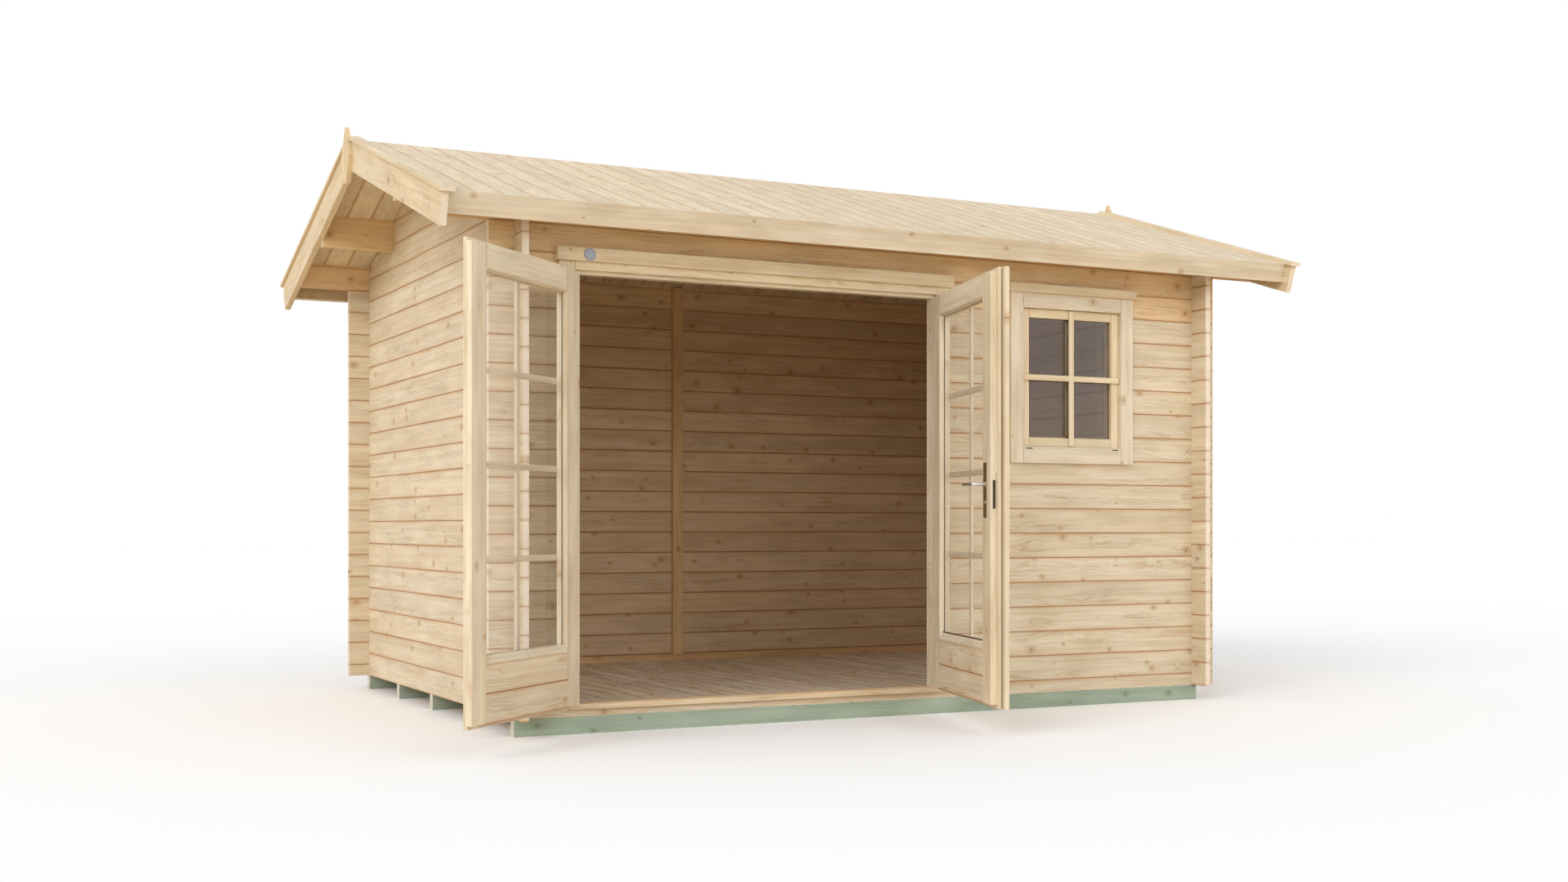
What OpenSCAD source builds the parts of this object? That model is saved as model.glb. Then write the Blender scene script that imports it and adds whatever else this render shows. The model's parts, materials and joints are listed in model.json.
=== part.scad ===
// Garden house of interlocking logs with a double glazed door and one window.
// Millimetres. The origin is at ground level under the middle of the house,
// +X runs to the right along the door side, +Y to the back and +Z up.
// The door side faces -Y. Both door leaves stand open.

/* [Log walls] */
// Length of the door side, measured over the walls
wall_w = 3416; // [3360:4:3700]
// Depth of the house, measured over the walls
wall_d = 2356; // [2200:4:2500]
// Height that one log covers
log_h = 112; // [110:0.5:116]
// Thickness of a log
log_t = 28; // [26:1:30]
// Whole logs over the one that the door's head cuts into
logs_over = 2; // [2:1:3]
// How far the log ends stand out past a crossing
log_end = 102; // [85:1:120]
// Width of the V groove at a log joint
groove_w = 6; // [4:0.5:8]
// Depth of the V groove at a log joint
groove_d = 4; // [2:0.5:5]
// Play left in the notches where logs cross
notch_gap = 0.5; // [0.2:0.1:1]

/* [Base and floor] */
// Height of a foundation beam
beam_h = 70; // [50:1:90]
// Width of a foundation beam
beam_w = 45; // [38:1:60]
// Number of foundation beams
beam_count = 5; // [4:1:7]
// Thickness of the floor boards
floor_t = 19; // [16:0.5:22]
// Play between the floor and the walls
floor_gap = 2; // [1:0.5:4]
// Height of the skirting strips
skirting_h = 35; // [25:1:50]
// Thickness of the skirting strips
skirting_t = 15; // [12:1:17]
// Width of the upright batten on the back wall
batten_w = 60; // [45:1:80]
// Thickness of the upright batten on the back wall
batten_t = 20; // [15:1:25]

/* [Roof] */
// Slope of the roof in degrees
roof_slope = 18; // [15:0.5:22]
// Thickness of the roof boards
roof_t = 19; // [16:0.5:24]
// Reach of the eaves past the door side and the back
eaves_out = 249; // [220:1:290]
// Reach of the roof boards past a side wall
gable_out = 342; // [300:1:380]
// Play between pieces that meet under the roof
roof_gap = 1; // [0.5:0.25:2]
// Play of what lies against a sloping face
bed_gap = 0.1; // [0.05:0.05:0.5]
// Height of the fascia board at the eaves
fascia_h = 88; // [70:1:100]
// Thickness of the fascia board
fascia_t = 20; // [16:1:26]
// Height of a barge board, square to the slope
barge_h = 130; // [115:1:150]
// Thickness of a barge board
barge_t = 27; // [20:1:32]
// Reach of a barge board past the fascia
barge_past = 35; // [20:1:50]
// Width of the cap strip over a barge board
cap_w = 58; // [54:1:66]
// Thickness of the cap strip
cap_t = 15; // [12:1:26]
// Reach of the cap strip outside its barge board
cap_over = 12; // [8:1:25]
// Reach of the cap strip past the end of its barge board
cap_past = 14; // [5:1:50]
// Width of a purlin
purlin_w = 45; // [38:1:60]
// Height of a purlin
purlin_h = 140; // [115:1:160]
// Distance of the middle purlins from the ridge
purlin_out = 675; // [560:5:760]

/* [Gable apex boards] */
// Half of the greatest width
apex_half = 72; // [60:1:85]
// Height of the point above the roof boards
apex_tip = 51; // [40:1:65]
// Distance of the widest place below the roof boards
apex_mid = 84; // [70:1:100]
// Distance of the foot below the roof boards
apex_drop = 196; // [175:1:220]
// Half of the width at the foot
apex_foot = 20; // [12:1:30]
// Thickness of an apex board
apex_t = 20; // [14:1:22]

/* [Door opening] */
// Left edge of the clear doorway, from the left wall
door_x = 264; // [250:1:320]
// Clear width of the doorway
door_w = 1663; // [1560:1:1700]
// Height of the doorway's head above the beams
door_h = 1768; // [1740:1:1790]
// Thickness of the jambs and the head
jamb_t = 40; // [34:1:46]
// Depth of the jambs, from the outside of the wall
jamb_d = 45; // [40:1:60]
// Height of the threshold above the beams
sill_h = 52; // [48:1:60]
// Height of the log strip below the threshold
sill_log_h = 28; // [22:1:30]
// Width of the casings beside the door
door_casing_w = 66; // [58:1:80]
// Thickness of all casings
casing_t = 18; // [14:1:18]
// Distance from a casing's inner edge to the jamb's
casing_lap = 16; // [14:1:20]
// Play between casings that meet
casing_gap = 1.5; // [1:0.5:3]
// Height of the drip board over the door
door_drip_h = 53; // [52:1:65]
// Thickness of the drip boards
drip_t = 34; // [26:1:40]
// Reach of a drip board past its casings
drip_over = 12; // [6:1:16]
// Height of the casing over the door
door_head_h = 34; // [28:1:40]

/* [Door leaves] */
// Play all round a closed leaf
door_gap = 5; // [5:0.5:6]
// Thickness of a whole leaf
leaf_t = 43; // [40:1:48]
// Thickness of the lip that covers the jamb
lip_t = 15; // [13:1:15]
// Width of the lip
lip_w = 16; // [14:1:20]
// Reach of the right leaf's lip past its free edge
lip_lap = 15; // [12:1:18]
// Width of a stile
stile_w = 98; // [95:1:110]
// Height of the top rail
top_rail_h = 83; // [70:1:100]
// Height of the boards below the glass
panel_h = 212; // [180:1:260]
// Width of the glazing stop round the glass
stop_w = 13; // [10:1:16]
// Thickness of the glass in the leaves and the window
glass_t = 4; // [3:0.5:6]
// Width of the astragal on the right leaf's own lip
astragal_w = 30; // [20:1:36]
// Reach of the astragal past that lip, over the left leaf
astragal_over = 20; // [12:1:24]
// Thickness of the astragal
astragal_t = 24; // [18:1:28]
// Opening angle of the left leaf
left_open = 137.5; // [100:0.5:150]
// Opening angle of the right leaf
right_open = 74; // [40:0.5:140]

/* [Hinges] */
// Distance of the pins from the edge of the lip
hinge_out = 22; // [20:0.5:26]
// Height of a whole hinge
hinge_h = 78; // [66:3:96]
// Height of the lowest hinge's middle above the leaf's foot
hinge_low = 190; // [150:1:260]
// Number of hinges on a leaf
hinge_count = 3; // [2:1:4]
// Outer radius of the knuckles
knuckle_r = 7; // [6:0.25:8]
// Radius of the pins
pin_r = 4; // [3:0.25:5]
// Running play of the pins and of the lever's neck
pin_gap = 0.05; // [0.03:0.01:0.09]
// Thickness of the hinge plates
plate_t = 3; // [2:0.25:3]
// Length of a hinge plate
plate_l = 42; // [36:1:50]

/* [Lock] */
// Height of the lever above the beams
lever_z = 927; // [880:1:980]
// Distance of the lever's neck from the leaf's free edge
backset = 62; // [55:1:68]
// Radius of the lever's neck
neck_r = 8; // [7:0.25:9]
// Reach of the lever in front of its plate
lever_out = 58; // [45:1:65]
// Length of the lever's grip
lever_l = 122; // [100:1:135]
// Height of the grip at the neck
grip_h = 20; // [16:1:24]
// Height of the grip at its end
grip_end_h = 13; // [10:1:16]
// Thickness of the grip
grip_t = 9; // [7:0.5:11]
// Width of the long plates
lock_plate_w = 38; // [32:1:44]
// Height of the long plates
lock_plate_h = 218; // [200:1:240]
// Distance of the cylinder below the lever
cylinder_drop = 72; // [60:1:80]
// Radius of the lock cylinder
cylinder_r = 8.5; // [7:0.25:10]
// Length of the lock case's face in the edge of the leaf
face_l = 170; // [140:1:220]
// Width of the lock case's face
face_w = 18; // [14:1:19]
// Thickness of the lock case's face
face_t = 2.5; // [2:0.25:4]
// Distance of the lock case's face from the front of its edge
face_in = 3; // [2:0.5:5]

/* [Window] */
// Left edge of the window's clear opening, from the left wall
window_x = 2404; // [2380:1:2430]
// Clear width of the window
window_w = 548; // [500:1:570]
// Foot of the window's clear opening above the beams
window_z = 1124; // [1100:1:1140]
// Clear height of the window
window_h = 632; // [600:1:640]
// Thickness of the window's frame
window_frame_t = 24; // [20:1:30]
// Play round the sash
sash_gap = 2; // [2:0.5:5]
// Width of the sash's stiles and rails
sash_w = 40; // [34:1:46]
// Depth of the sash behind the outside of the wall
sash_in = 2; // [1:1:4]
// Width and thickness of the sash's lip, which rests on the frame inside
sash_lip = 12; // [8:1:16]
// Width of the casings beside the window
window_casing_w = 70; // [55:1:80]
// Height of the casing over the window
window_head_h = 68; // [58:1:72]
// Height of the casing under the window
window_foot_h = 75; // [60:1:90]
// Height of the drip board over the window
window_drip_h = 38; // [30:1:44]
// Length of the drain slots in the lower casing
slot_l = 38; // [28:1:48]
// Height of the drain slots
slot_h = 6; // [4:1:9]

/* [Plate on the drip board] */
// Radius of the round plate
badge_r = 25; // [18:1:25]
// Thickness of the round plate
badge_t = 3; // [2:0.5:5]
// Distance of its middle from the board's left end
badge_in = 135; // [100:1:250]

/* [Hidden] */
$fn = 48;
// Overrun of a cutting body past the face it cuts
cut = 10;
// Colours
spruce = "#e2cca3";
spruce_pale = "#e9d7b3";
spruce_shade = "#cdb184";
treated = "#9dab90";
steel = "#b4b6b8";
pane = [0.62, 0.68, 0.70, 0.45];

// Walls: whole logs in a side wall below the roof, and heights of the joint below the
// door's head, of the last joint below the eaves log and of the wall at the eaves
door_frame_top = door_h + jamb_t;
head_log = floor(door_frame_top / log_h - 0.5);
split_z = (head_log + 0.5) * log_h;
courses = head_log + 1 + logs_over;
eaves_z = (courses + 0.5) * log_h;
eaves_log_z = eaves_z - log_h;
mid_y = wall_d / 2;
// Roof: top of the roof boards at the ridge and lengths along the slope
slope_c = cos(roof_slope);
slope_s = sin(roof_slope);
ridge_z = eaves_z + mid_y * tan(roof_slope) + roof_t / slope_c;
fascia_end = (mid_y + eaves_out) / slope_c;
roof_l = fascia_end - fascia_t;
barge_l = fascia_end + barge_past;
cap_l = barge_l + cap_past;
// Door: distances across the wall, negative in front of it
lip_back = -door_gap;
lip_front = lip_back - lip_t;
leaf_back = lip_front + leaf_t;
leaf_foot = sill_h + door_gap;
leaf_head = door_h - door_gap;
// Door: distances along a closed leaf from the clear edge of its jamb
lip_x = door_gap - lip_w;
body_x0 = door_gap;
body_x1 = door_w / 2 - door_gap / 2;
right_lip_x1 = body_x1 + lip_lap;
left_lip_x1 = door_w - right_lip_x1 - door_gap;
glass_x0 = body_x0 + stile_w;
glass_x1 = body_x1 - stile_w;
glass_z0 = leaf_foot + panel_h;
glass_z1 = leaf_head - top_rail_h;
glass_front = lip_back + door_gap;
pane_play = 1;
panel_in = 1;
hinge_x = lip_x - hinge_out;
hinge_y = -casing_t - door_gap - knuckle_r;
hinge_web = 4;
third = hinge_h / 3;
hinge_end_gap = 0.5;
hinge_step = (leaf_head - leaf_foot - 2 * hinge_low) / (hinge_count - 1);
lever_x = body_x1 - backset;
plate_t_lock = 3;
// Window: the frame round the clear opening
frame_x0 = window_x - window_frame_t;
frame_z0 = window_z - window_frame_t;
frame_wide = window_w + 2 * window_frame_t;
frame_high = window_h + 2 * window_frame_t;
sash_x0 = window_x + sash_gap;
sash_z0 = window_z + sash_gap;
sash_wide = window_w - 2 * sash_gap;
sash_high = window_h - 2 * sash_gap;
window_rebate = 8;
window_stop_t = 16;

// ---- helpers ----

// Moves a piece from the wall's front left corner on the beams to the part's frame
module in_house() {
    translate([-wall_w / 2, -wall_d / 2, beam_h]) children();
}

// A box from one corner to the opposite one
module block(low, high) {
    translate(low) cube(high - low);
}

// Height of the underside of the roof at depth y
function under_roof(y) = eaves_z + min(y, wall_d - y) * tan(roof_slope);

// A point of the front roof slope: s down the slope from the ridge, w below the
// top of the roof boards, as depth and height
function on_slope(s, w) = [
    mid_y - s * slope_c + w * slope_s,
    ridge_z - s * slope_s - w * slope_c
];

// Distance down the slope at which a board starts, cut plumb at the ridge
function plumb_start(w) = w * tan(roof_slope) + roof_gap / 2 / slope_c;

// Outline of a board on the slope between depths w0 and w1, down to s1
function slope_board(w0, w1, s1) = [
    on_slope(plumb_start(w0), w0), on_slope(s1, w0),
    on_slope(s1, w1), on_slope(plumb_start(w1), w1)
];

// Extrudes a depth and height outline along X from x0 to x1
module along_x(x0, x1) {
    translate([x0, 0, 0]) rotate([90, 0, 90]) linear_extrude(x1 - x0) children();
}

// The same piece on the front and on the back slope
module both_slopes() {
    children();
    translate([0, wall_d, 0]) mirror([0, 1, 0]) children();
}

// The same piece on the left and on the right gable
module both_gables() {
    children();
    translate([wall_w, 0, 0]) mirror([1, 0, 0]) children();
}

// Section of stacked logs from z0 to z1, grooved where a joint crosses a face.
// A joint at z0 or z1 leaves half a groove there.
function log_section(z0, z1, first) =
    let (
        joints = [for (z = first; z < z1 - 1; z = z + log_h) if (z > z0 + 1) z],
        n = len(joints),
        half = groove_w / 2,
        low = (abs((z0 - first) % log_h) < 1 && z0 > 1) ? groove_d : 0,
        high = (abs((z1 - first) % log_h) < 1) ? groove_d : 0
    )
    concat(
        [[low, z0], [log_t - low, z0], [log_t, z0 + half]],
        [for (i = [0 : n - 1], p = [[0, -half], [-groove_d, 0], [0, half]])
            [log_t + p[0], joints[i] + p[1]]],
        [[log_t, z1 - half], [log_t - high, z1], [high, z1], [0, z1 - half]],
        [for (i = [n - 1 : -1 : 0], p = [[0, half], [groove_d, 0], [0, -half]])
            [p[0], joints[i] + p[1]]],
        [[0, z0 + half]]
    );

// Logs of a front or back wall from x0 to x1, with the outer face at y = 0
module cross_logs(x0, x1, z0, z1) {
    along_x(x0, x1) polygon(log_section(z0, z1, log_h / 2));
}

// Cuts a front or back wall where the side walls' logs pass through it
module side_log_passages() {
    both_gables()
        for (k = [0 : courses])
            block([-notch_gap, -cut, (k + 0.25) * log_h - notch_gap / 2],
                [log_t + notch_gap, log_t + cut, (k + 0.75) * log_h + notch_gap / 2]);
}

// Cuts a side wall where the front and back walls' logs pass through it
module cross_log_passages() {
    both_slopes()
        for (k = [-1 : courses - 1])
            block([-cut, -notch_gap, (k + 0.75) * log_h - notch_gap / 2],
                [log_t + cut, log_t + notch_gap, (k + 1.25) * log_h + notch_gap / 2]);
}

// Sections of the purlins, wider all round by play
module purlin_section(y, play) {
    top = under_roof(y);
    low = top - purlin_h - play;
    half = purlin_w / 2 + play;
    up = play > 0 ? cut : -bed_gap;
    polygon([
        [y - half, low], [y + half, low], [y + half, under_roof(y + half) + up],
        [y, top + up], [y - half, under_roof(y - half) + up]
    ]);
}

// Depths of the three purlins
purlin_ys = [mid_y - purlin_out, mid_y, mid_y + purlin_out];

// Outline of an apex board, wider all round by play
module apex_outline(play) {
    polygon([
        [mid_y, ridge_z + apex_tip + 2 * play],
        [mid_y - apex_half - play, ridge_z - apex_mid],
        [mid_y - apex_foot - play, ridge_z - apex_drop - play],
        [mid_y + apex_foot + play, ridge_z - apex_drop - play],
        [mid_y + apex_half + play, ridge_z - apex_mid]
    ]);
}

// Cuts the openings for the door's and the window's frames
module wall_openings() {
    block([door_x - jamb_t, -cut, -cut],
        [door_x + door_w + jamb_t, log_t + cut, door_frame_top]);
    block([frame_x0, -cut, frame_z0],
        [frame_x0 + frame_wide, log_t + cut, frame_z0 + frame_high]);
}

// ---- base and floor ----

module foundation_beams() {
    step = (wall_d - beam_w) / (beam_count - 1);
    color(treated) in_house()
        for (i = [0 : beam_count - 1])
            block([0, i * step, -beam_h], [wall_w, i * step + beam_w, 0]);
}

module floor_boards() {
    edge = log_t + floor_gap;
    color(spruce_shade) in_house()
        block([edge, edge, 0], [wall_w - edge, wall_d - edge, floor_t]);
}

module skirting() {
    top = floor_t + skirting_h;
    back = wall_d - log_t;
    left_end = door_x - jamb_t - casing_gap;
    right_end = door_x + door_w + jamb_t + casing_gap;
    inner = log_t + skirting_t;
    color(spruce) in_house() {
        block([log_t, back - skirting_t, floor_t], [wall_w - log_t, back, top]);
        block([log_t, log_t, floor_t], [left_end, inner, top]);
        block([right_end, log_t, floor_t], [wall_w - log_t, inner, top]);
        both_gables()
            block([log_t, inner + casing_gap, floor_t],
                [inner, back - skirting_t - casing_gap, top]);
    }
}

module wall_batten() {
    back = wall_d - log_t;
    color(spruce) in_house()
        block([(wall_w - batten_w) / 2, back - batten_t, floor_t + skirting_h],
            [(wall_w + batten_w) / 2, back, under_roof(back) - roof_gap]);
}

// ---- walls ----

// A side wall with its gable, cut to the slope and for the purlins
module side_wall() {
    log_top = courses * log_h;
    difference() {
        intersection() {
            translate([0, wall_d + log_end, 0]) rotate([90, 0, 0])
                linear_extrude(wall_d + 2 * log_end)
                    polygon(log_section(0, ridge_z, log_h));
            along_x(-cut, log_t + cut) polygon([
                [-log_end, 0], [wall_d + log_end, 0], [wall_d + log_end, log_top],
                [wall_d, log_top], [wall_d, eaves_z - roof_gap],
                [mid_y, under_roof(mid_y) - roof_gap],
                [0, eaves_z - roof_gap], [0, log_top], [-log_end, log_top]
            ]);
        }
        cross_log_passages();
        for (y = purlin_ys)
            along_x(-cut, log_t + cut) purlin_section(y, roof_gap);
    }
}

module left_wall() {
    color(spruce_pale) in_house() side_wall();
}

module right_wall() {
    color(spruce_pale) in_house() translate([wall_w - log_t, 0, 0]) side_wall();
}

module back_wall() {
    color(spruce) in_house() translate([0, wall_d - log_t, 0]) difference() {
        cross_logs(-log_end, wall_w + log_end, 0, eaves_log_z);
        side_log_passages();
    }
}

module front_wall_left() {
    color(spruce) in_house() difference() {
        cross_logs(-log_end, door_x - jamb_t, 0, split_z);
        side_log_passages();
    }
}

module front_wall_right() {
    color(spruce) in_house() difference() {
        cross_logs(door_x + door_w + jamb_t, wall_w + log_end, 0, split_z);
        side_log_passages();
        wall_openings();
    }
}

module front_wall_top() {
    color(spruce) in_house() difference() {
        cross_logs(-log_end, wall_w + log_end, split_z, eaves_log_z);
        side_log_passages();
        wall_openings();
    }
}

module sill_log() {
    color(spruce) in_house()
        block([door_x - jamb_t, 0, 0], [door_x + door_w + jamb_t, log_t, sill_log_h]);
}

// The top log of the front and of the back carries the roof out to the barge boards
module eaves_logs() {
    color(spruce) in_house() both_slopes() difference() {
        along_x(-gable_out, wall_w + gable_out) polygon([
            [groove_d, eaves_log_z], [log_t - groove_d, eaves_log_z],
            [log_t, eaves_log_z + groove_w / 2], [log_t, under_roof(log_t) - bed_gap],
            [0, under_roof(0) - bed_gap], [0, eaves_log_z + groove_w / 2]
        ]);
        side_log_passages();
    }
}

// ---- roof ----

module purlins() {
    color(spruce) in_house()
        for (y = purlin_ys)
            along_x(-gable_out, wall_w + gable_out) purlin_section(y, 0);
}

module roof_slab() {
    along_x(-gable_out, wall_w + gable_out) polygon(slope_board(0, roof_t, roof_l));
}

module roof_front() {
    color(spruce) in_house() roof_slab();
}

module roof_back() {
    color(spruce) in_house() translate([0, wall_d, 0]) mirror([0, 1, 0]) roof_slab();
}

module fascia() {
    inner = roof_l + bed_gap;
    along_x(-gable_out, wall_w + gable_out) polygon([
        on_slope(inner, 0), on_slope(fascia_end, 0),
        on_slope(fascia_end, fascia_h), on_slope(inner, fascia_h)
    ]);
}

module fascia_front() {
    color(spruce) in_house() fascia();
}

module fascia_back() {
    color(spruce) in_house() translate([0, wall_d, 0]) mirror([0, 1, 0]) fascia();
}

module gable_barge_boards() {
    both_slopes() along_x(-gable_out - barge_t, -gable_out)
        polygon(slope_board(0, barge_h, barge_l));
}

module barge_boards_left() {
    color(spruce_pale) in_house() gable_barge_boards();
}

module barge_boards_right() {
    color(spruce_pale) in_house()
        translate([wall_w, 0, 0]) mirror([1, 0, 0]) gable_barge_boards();
}

// Cap strips over the barge boards, notched round the apex boards
module cap_strips() {
    outer = -gable_out - barge_t - cap_over;
    color(spruce_pale) in_house() both_gables() both_slopes() difference() {
        along_x(outer, outer + cap_w)
            polygon(slope_board(-cap_t, -bed_gap, cap_l));
        along_x(outer - cut, -gable_out - barge_t + roof_gap) apex_outline(roof_gap);
    }
}

module apex_boards() {
    color(spruce_pale) in_house() both_gables()
        along_x(-gable_out - barge_t - apex_t, -gable_out - barge_t) apex_outline(0);
}

// ---- door opening ----

module door_frame() {
    color(spruce) in_house() difference() {
        block([door_x - jamb_t, 0, sill_h],
            [door_x + door_w + jamb_t, jamb_d, door_frame_top]);
        block([door_x, -cut, sill_h - cut], [door_x + door_w, jamb_d + cut, door_h]);
    }
}

// The threshold steps up behind the leaves' lower lip
module threshold() {
    color(spruce) in_house()
        along_x(door_x - jamb_t, door_x + door_w + jamb_t) polygon([
            [-casing_t, sill_log_h], [jamb_d, sill_log_h], [jamb_d, sill_h],
            [0, sill_h], [0, sill_h - lip_w], [-casing_t, sill_h - lip_w]
        ]);
}

// Height of the underside of the drip board over the door
door_drip_z = door_h + casing_lap + door_head_h;

module door_casings() {
    inner0 = door_x - casing_lap;
    inner1 = door_x + door_w + casing_lap;
    foot = sill_h - lip_w;
    color(spruce) in_house() {
        block([inner0 - door_casing_w, -casing_t, foot], [inner0, 0, door_drip_z]);
        block([inner1, -casing_t, foot], [inner1 + door_casing_w, 0, door_drip_z]);
        block([inner0 + casing_gap, -casing_t, door_h + casing_lap],
            [inner1 - casing_gap, 0, door_drip_z]);
    }
}

// Left end of the drip board over the door
door_drip_x = door_x - casing_lap - door_casing_w - drip_over;

module drip_boards() {
    window_drip_z = window_z + window_h + window_head_h;
    color(spruce) in_house() {
        block([door_drip_x, -drip_t, door_drip_z],
            [2 * door_x + door_w - door_drip_x, 0, door_drip_z + door_drip_h]);
        block([window_x - window_casing_w - drip_over, -drip_t, window_drip_z],
            [window_x + window_w + window_casing_w + drip_over, 0,
                window_drip_z + window_drip_h]);
    }
}

module round_plate() {
    color(steel) in_house()
        translate([door_drip_x + badge_in, -drip_t, door_drip_z + door_drip_h / 2])
            rotate([90, 0, 0]) cylinder(r = badge_r, h = badge_t);
}

// ---- window ----

module window_frame() {
    color(spruce) in_house() difference() {
        block([frame_x0, 0, frame_z0],
            [frame_x0 + frame_wide, jamb_d, frame_z0 + frame_high]);
        block([window_x, -cut, window_z],
            [window_x + window_w, jamb_d + cut, window_z + window_h]);
    }
}

// The sash has a rebate on the inside that holds the pane
module window_sash() {
    x0 = sash_x0 + sash_w;
    x1 = sash_x0 + sash_wide - sash_w;
    z0 = sash_z0 + sash_w;
    z1 = sash_z0 + sash_high - sash_w;
    back = jamb_d + sash_lip;
    color(spruce_pale) in_house() difference() {
        union() {
            block([sash_x0, sash_in, sash_z0],
                [sash_x0 + sash_wide, back, sash_z0 + sash_high]);
            block([window_x - sash_lip, jamb_d, window_z - sash_lip],
                [window_x + window_w + sash_lip, back, window_z + window_h + sash_lip]);
        }
        block([x0, -cut, z0], [x1, back + cut, z1]);
        block([x0 - window_rebate, sash_in + window_stop_t, z0 - window_rebate],
            [x1 + window_rebate, back + cut, z1 + window_rebate]);
    }
}

module window_glass() {
    play = window_rebate - pane_play;
    front = sash_in + window_stop_t;
    color(pane) in_house()
        block([sash_x0 + sash_w - play, front, sash_z0 + sash_w - play],
            [sash_x0 + sash_wide - sash_w + play, front + glass_t,
                sash_z0 + sash_high - sash_w + play]);
}

// Casings round the window, the lower one with two drain slots
module window_casings() {
    x0 = window_x;
    x1 = window_x + window_w;
    foot = window_z - window_foot_h;
    head = window_z + window_h + window_head_h;
    slot_z = window_z - 2 * slot_h;
    slot_in = 12;
    color(spruce) in_house() {
        block([x0 - window_casing_w, -casing_t, foot], [x0 - casing_gap, 0, head]);
        block([x1 + casing_gap, -casing_t, foot], [x1 + window_casing_w, 0, head]);
        block([x0, -casing_t, window_z + window_h], [x1, 0, head]);
        difference() {
            block([x0, -casing_t, foot], [x1, 0, window_z]);
            block([x0 + slot_in, -casing_t - cut, slot_z],
                [x0 + slot_in + slot_l, cut, slot_z + slot_h]);
            block([x1 - slot_in - slot_l, -casing_t - cut, slot_z],
                [x1 - slot_in, cut, slot_z + slot_h]);
        }
    }
}

// ---- door leaves ----

// Closed places of the leaves: a leaf starts at its jamb's clear edge and runs in +X
module left_closed() {
    translate([door_x, 0, 0]) children();
}

module right_closed() {
    translate([door_x + door_w, 0, 0]) mirror([1, 0, 0]) children();
}

// A leaf turned open about its hinge pins
module opened(angle) {
    translate([hinge_x, hinge_y, 0]) rotate([0, 0, -angle])
        translate([-hinge_x, -hinge_y, 0]) children();
}

// Stiles, top rail and glazing stops, with the lip ending at lip_x1
module leaf_frame(lip_x1) {
    difference() {
        union() {
            block([lip_x, lip_front, leaf_foot - lip_w],
                [lip_x1, lip_back, leaf_head + lip_w]);
            block([body_x0, lip_back, leaf_foot], [body_x1, leaf_back, leaf_head]);
        }
        block([glass_x0, lip_front - cut, 0], [glass_x1, leaf_back + cut, glass_z0]);
        block([glass_x0, glass_front, glass_z0], [glass_x1, leaf_back + cut, glass_z1]);
        block([glass_x0 + stop_w, lip_front - cut, glass_z0 - cut],
            [glass_x1 - stop_w, leaf_back + cut, glass_z1 - stop_w]);
    }
}

// The two boards below the glass, with a groove between them on both faces
module leaf_panel() {
    joint = leaf_foot + panel_h / 2;
    back = leaf_back - panel_in;
    front = lip_front + panel_in;
    half = groove_w / 2;
    color(spruce) along_x(glass_x0, glass_x1) polygon([
        [front, leaf_foot - lip_w], [lip_back, leaf_foot - lip_w],
        [lip_back, leaf_foot], [back, leaf_foot],
        [back, joint - half], [back - groove_d, joint], [back, joint + half],
        [back, glass_z0], [front, glass_z0],
        [front, joint + half], [front + groove_d, joint], [front, joint - half]
    ]);
}

module leaf_glass() {
    color(pane)
        block([glass_x0 + pane_play, glass_front, glass_z0 + pane_play],
            [glass_x1 - pane_play, glass_front + glass_t, glass_z1 - pane_play]);
}

// Heights of the hinges' middles on a leaf
hinge_zs = [for (i = [0 : hinge_count - 1]) leaf_foot + hinge_low + i * hinge_step];

// The moving third of each hinge: a knuckle with a bore and a plate on the leaf
module leaf_hinges() {
    color(steel) for (z = hinge_zs) {
        low = z - third / 2 + hinge_end_gap;
        high = z + third / 2 - hinge_end_gap;
        difference() {
            union() {
                translate([hinge_x, hinge_y, low]) cylinder(r = knuckle_r, h = high - low);
                block([hinge_x, lip_front - plate_t - hinge_web, low],
                    [lip_x + hinge_web, lip_front - plate_t, high]);
                block([lip_x, lip_front - plate_t, low],
                    [lip_x + plate_l, lip_front, high]);
            }
            translate([hinge_x, hinge_y, low - cut])
                cylinder(r = pin_r + pin_gap, h = third + 2 * cut);
        }
    }
}

// The fixed thirds of each hinge with the pin and a plate on the casing
module casing_hinges() {
    for (z = hinge_zs) {
        low = z - hinge_h / 2;
        high = z + hinge_h / 2;
        translate([hinge_x, hinge_y, low]) cylinder(r = pin_r, h = hinge_h);
        for (foot = [low, high - third]) {
            translate([hinge_x, hinge_y, foot]) cylinder(r = knuckle_r, h = third);
            block([hinge_x - knuckle_r, hinge_y, foot],
                [hinge_x, -casing_t, foot + third]);
        }
        block([hinge_x - plate_l, -casing_t - plate_t, low],
            [hinge_x, -casing_t, high]);
    }
}

module hinge_pins() {
    color(steel) in_house() {
        left_closed() casing_hinges();
        right_closed() casing_hinges();
    }
}

// Pocket for the metal strip of the lock in a leaf's free edge, depth from y0
module lock_face(y0) {
    mid = lever_z - cylinder_drop / 2;
    block([body_x1 - face_t, y0, mid - face_l / 2],
        [body_x1, y0 + face_w, mid + face_l / 2]);
}

module left_leaf_frame() {
    recess = lip_back + door_gap;
    color(spruce_pale) in_house() left_closed() opened(left_open) difference() {
        leaf_frame(left_lip_x1);
        block([left_lip_x1, lip_back - cut, 0],
            [body_x1 + cut, recess, leaf_head + cut]);
        lock_face(recess + face_in);
    }
}

module left_leaf_panel() {
    in_house() left_closed() opened(left_open) leaf_panel();
}

module left_leaf_glass() {
    in_house() left_closed() opened(left_open) leaf_glass();
}

module left_hinges() {
    in_house() left_closed() opened(left_open) leaf_hinges();
}

// Places a lock piece at its distance along the leaf and its height
module at_lock(z) {
    translate([lever_x, 0, z]) rotate([90, 0, 0]) children();
}

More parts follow.
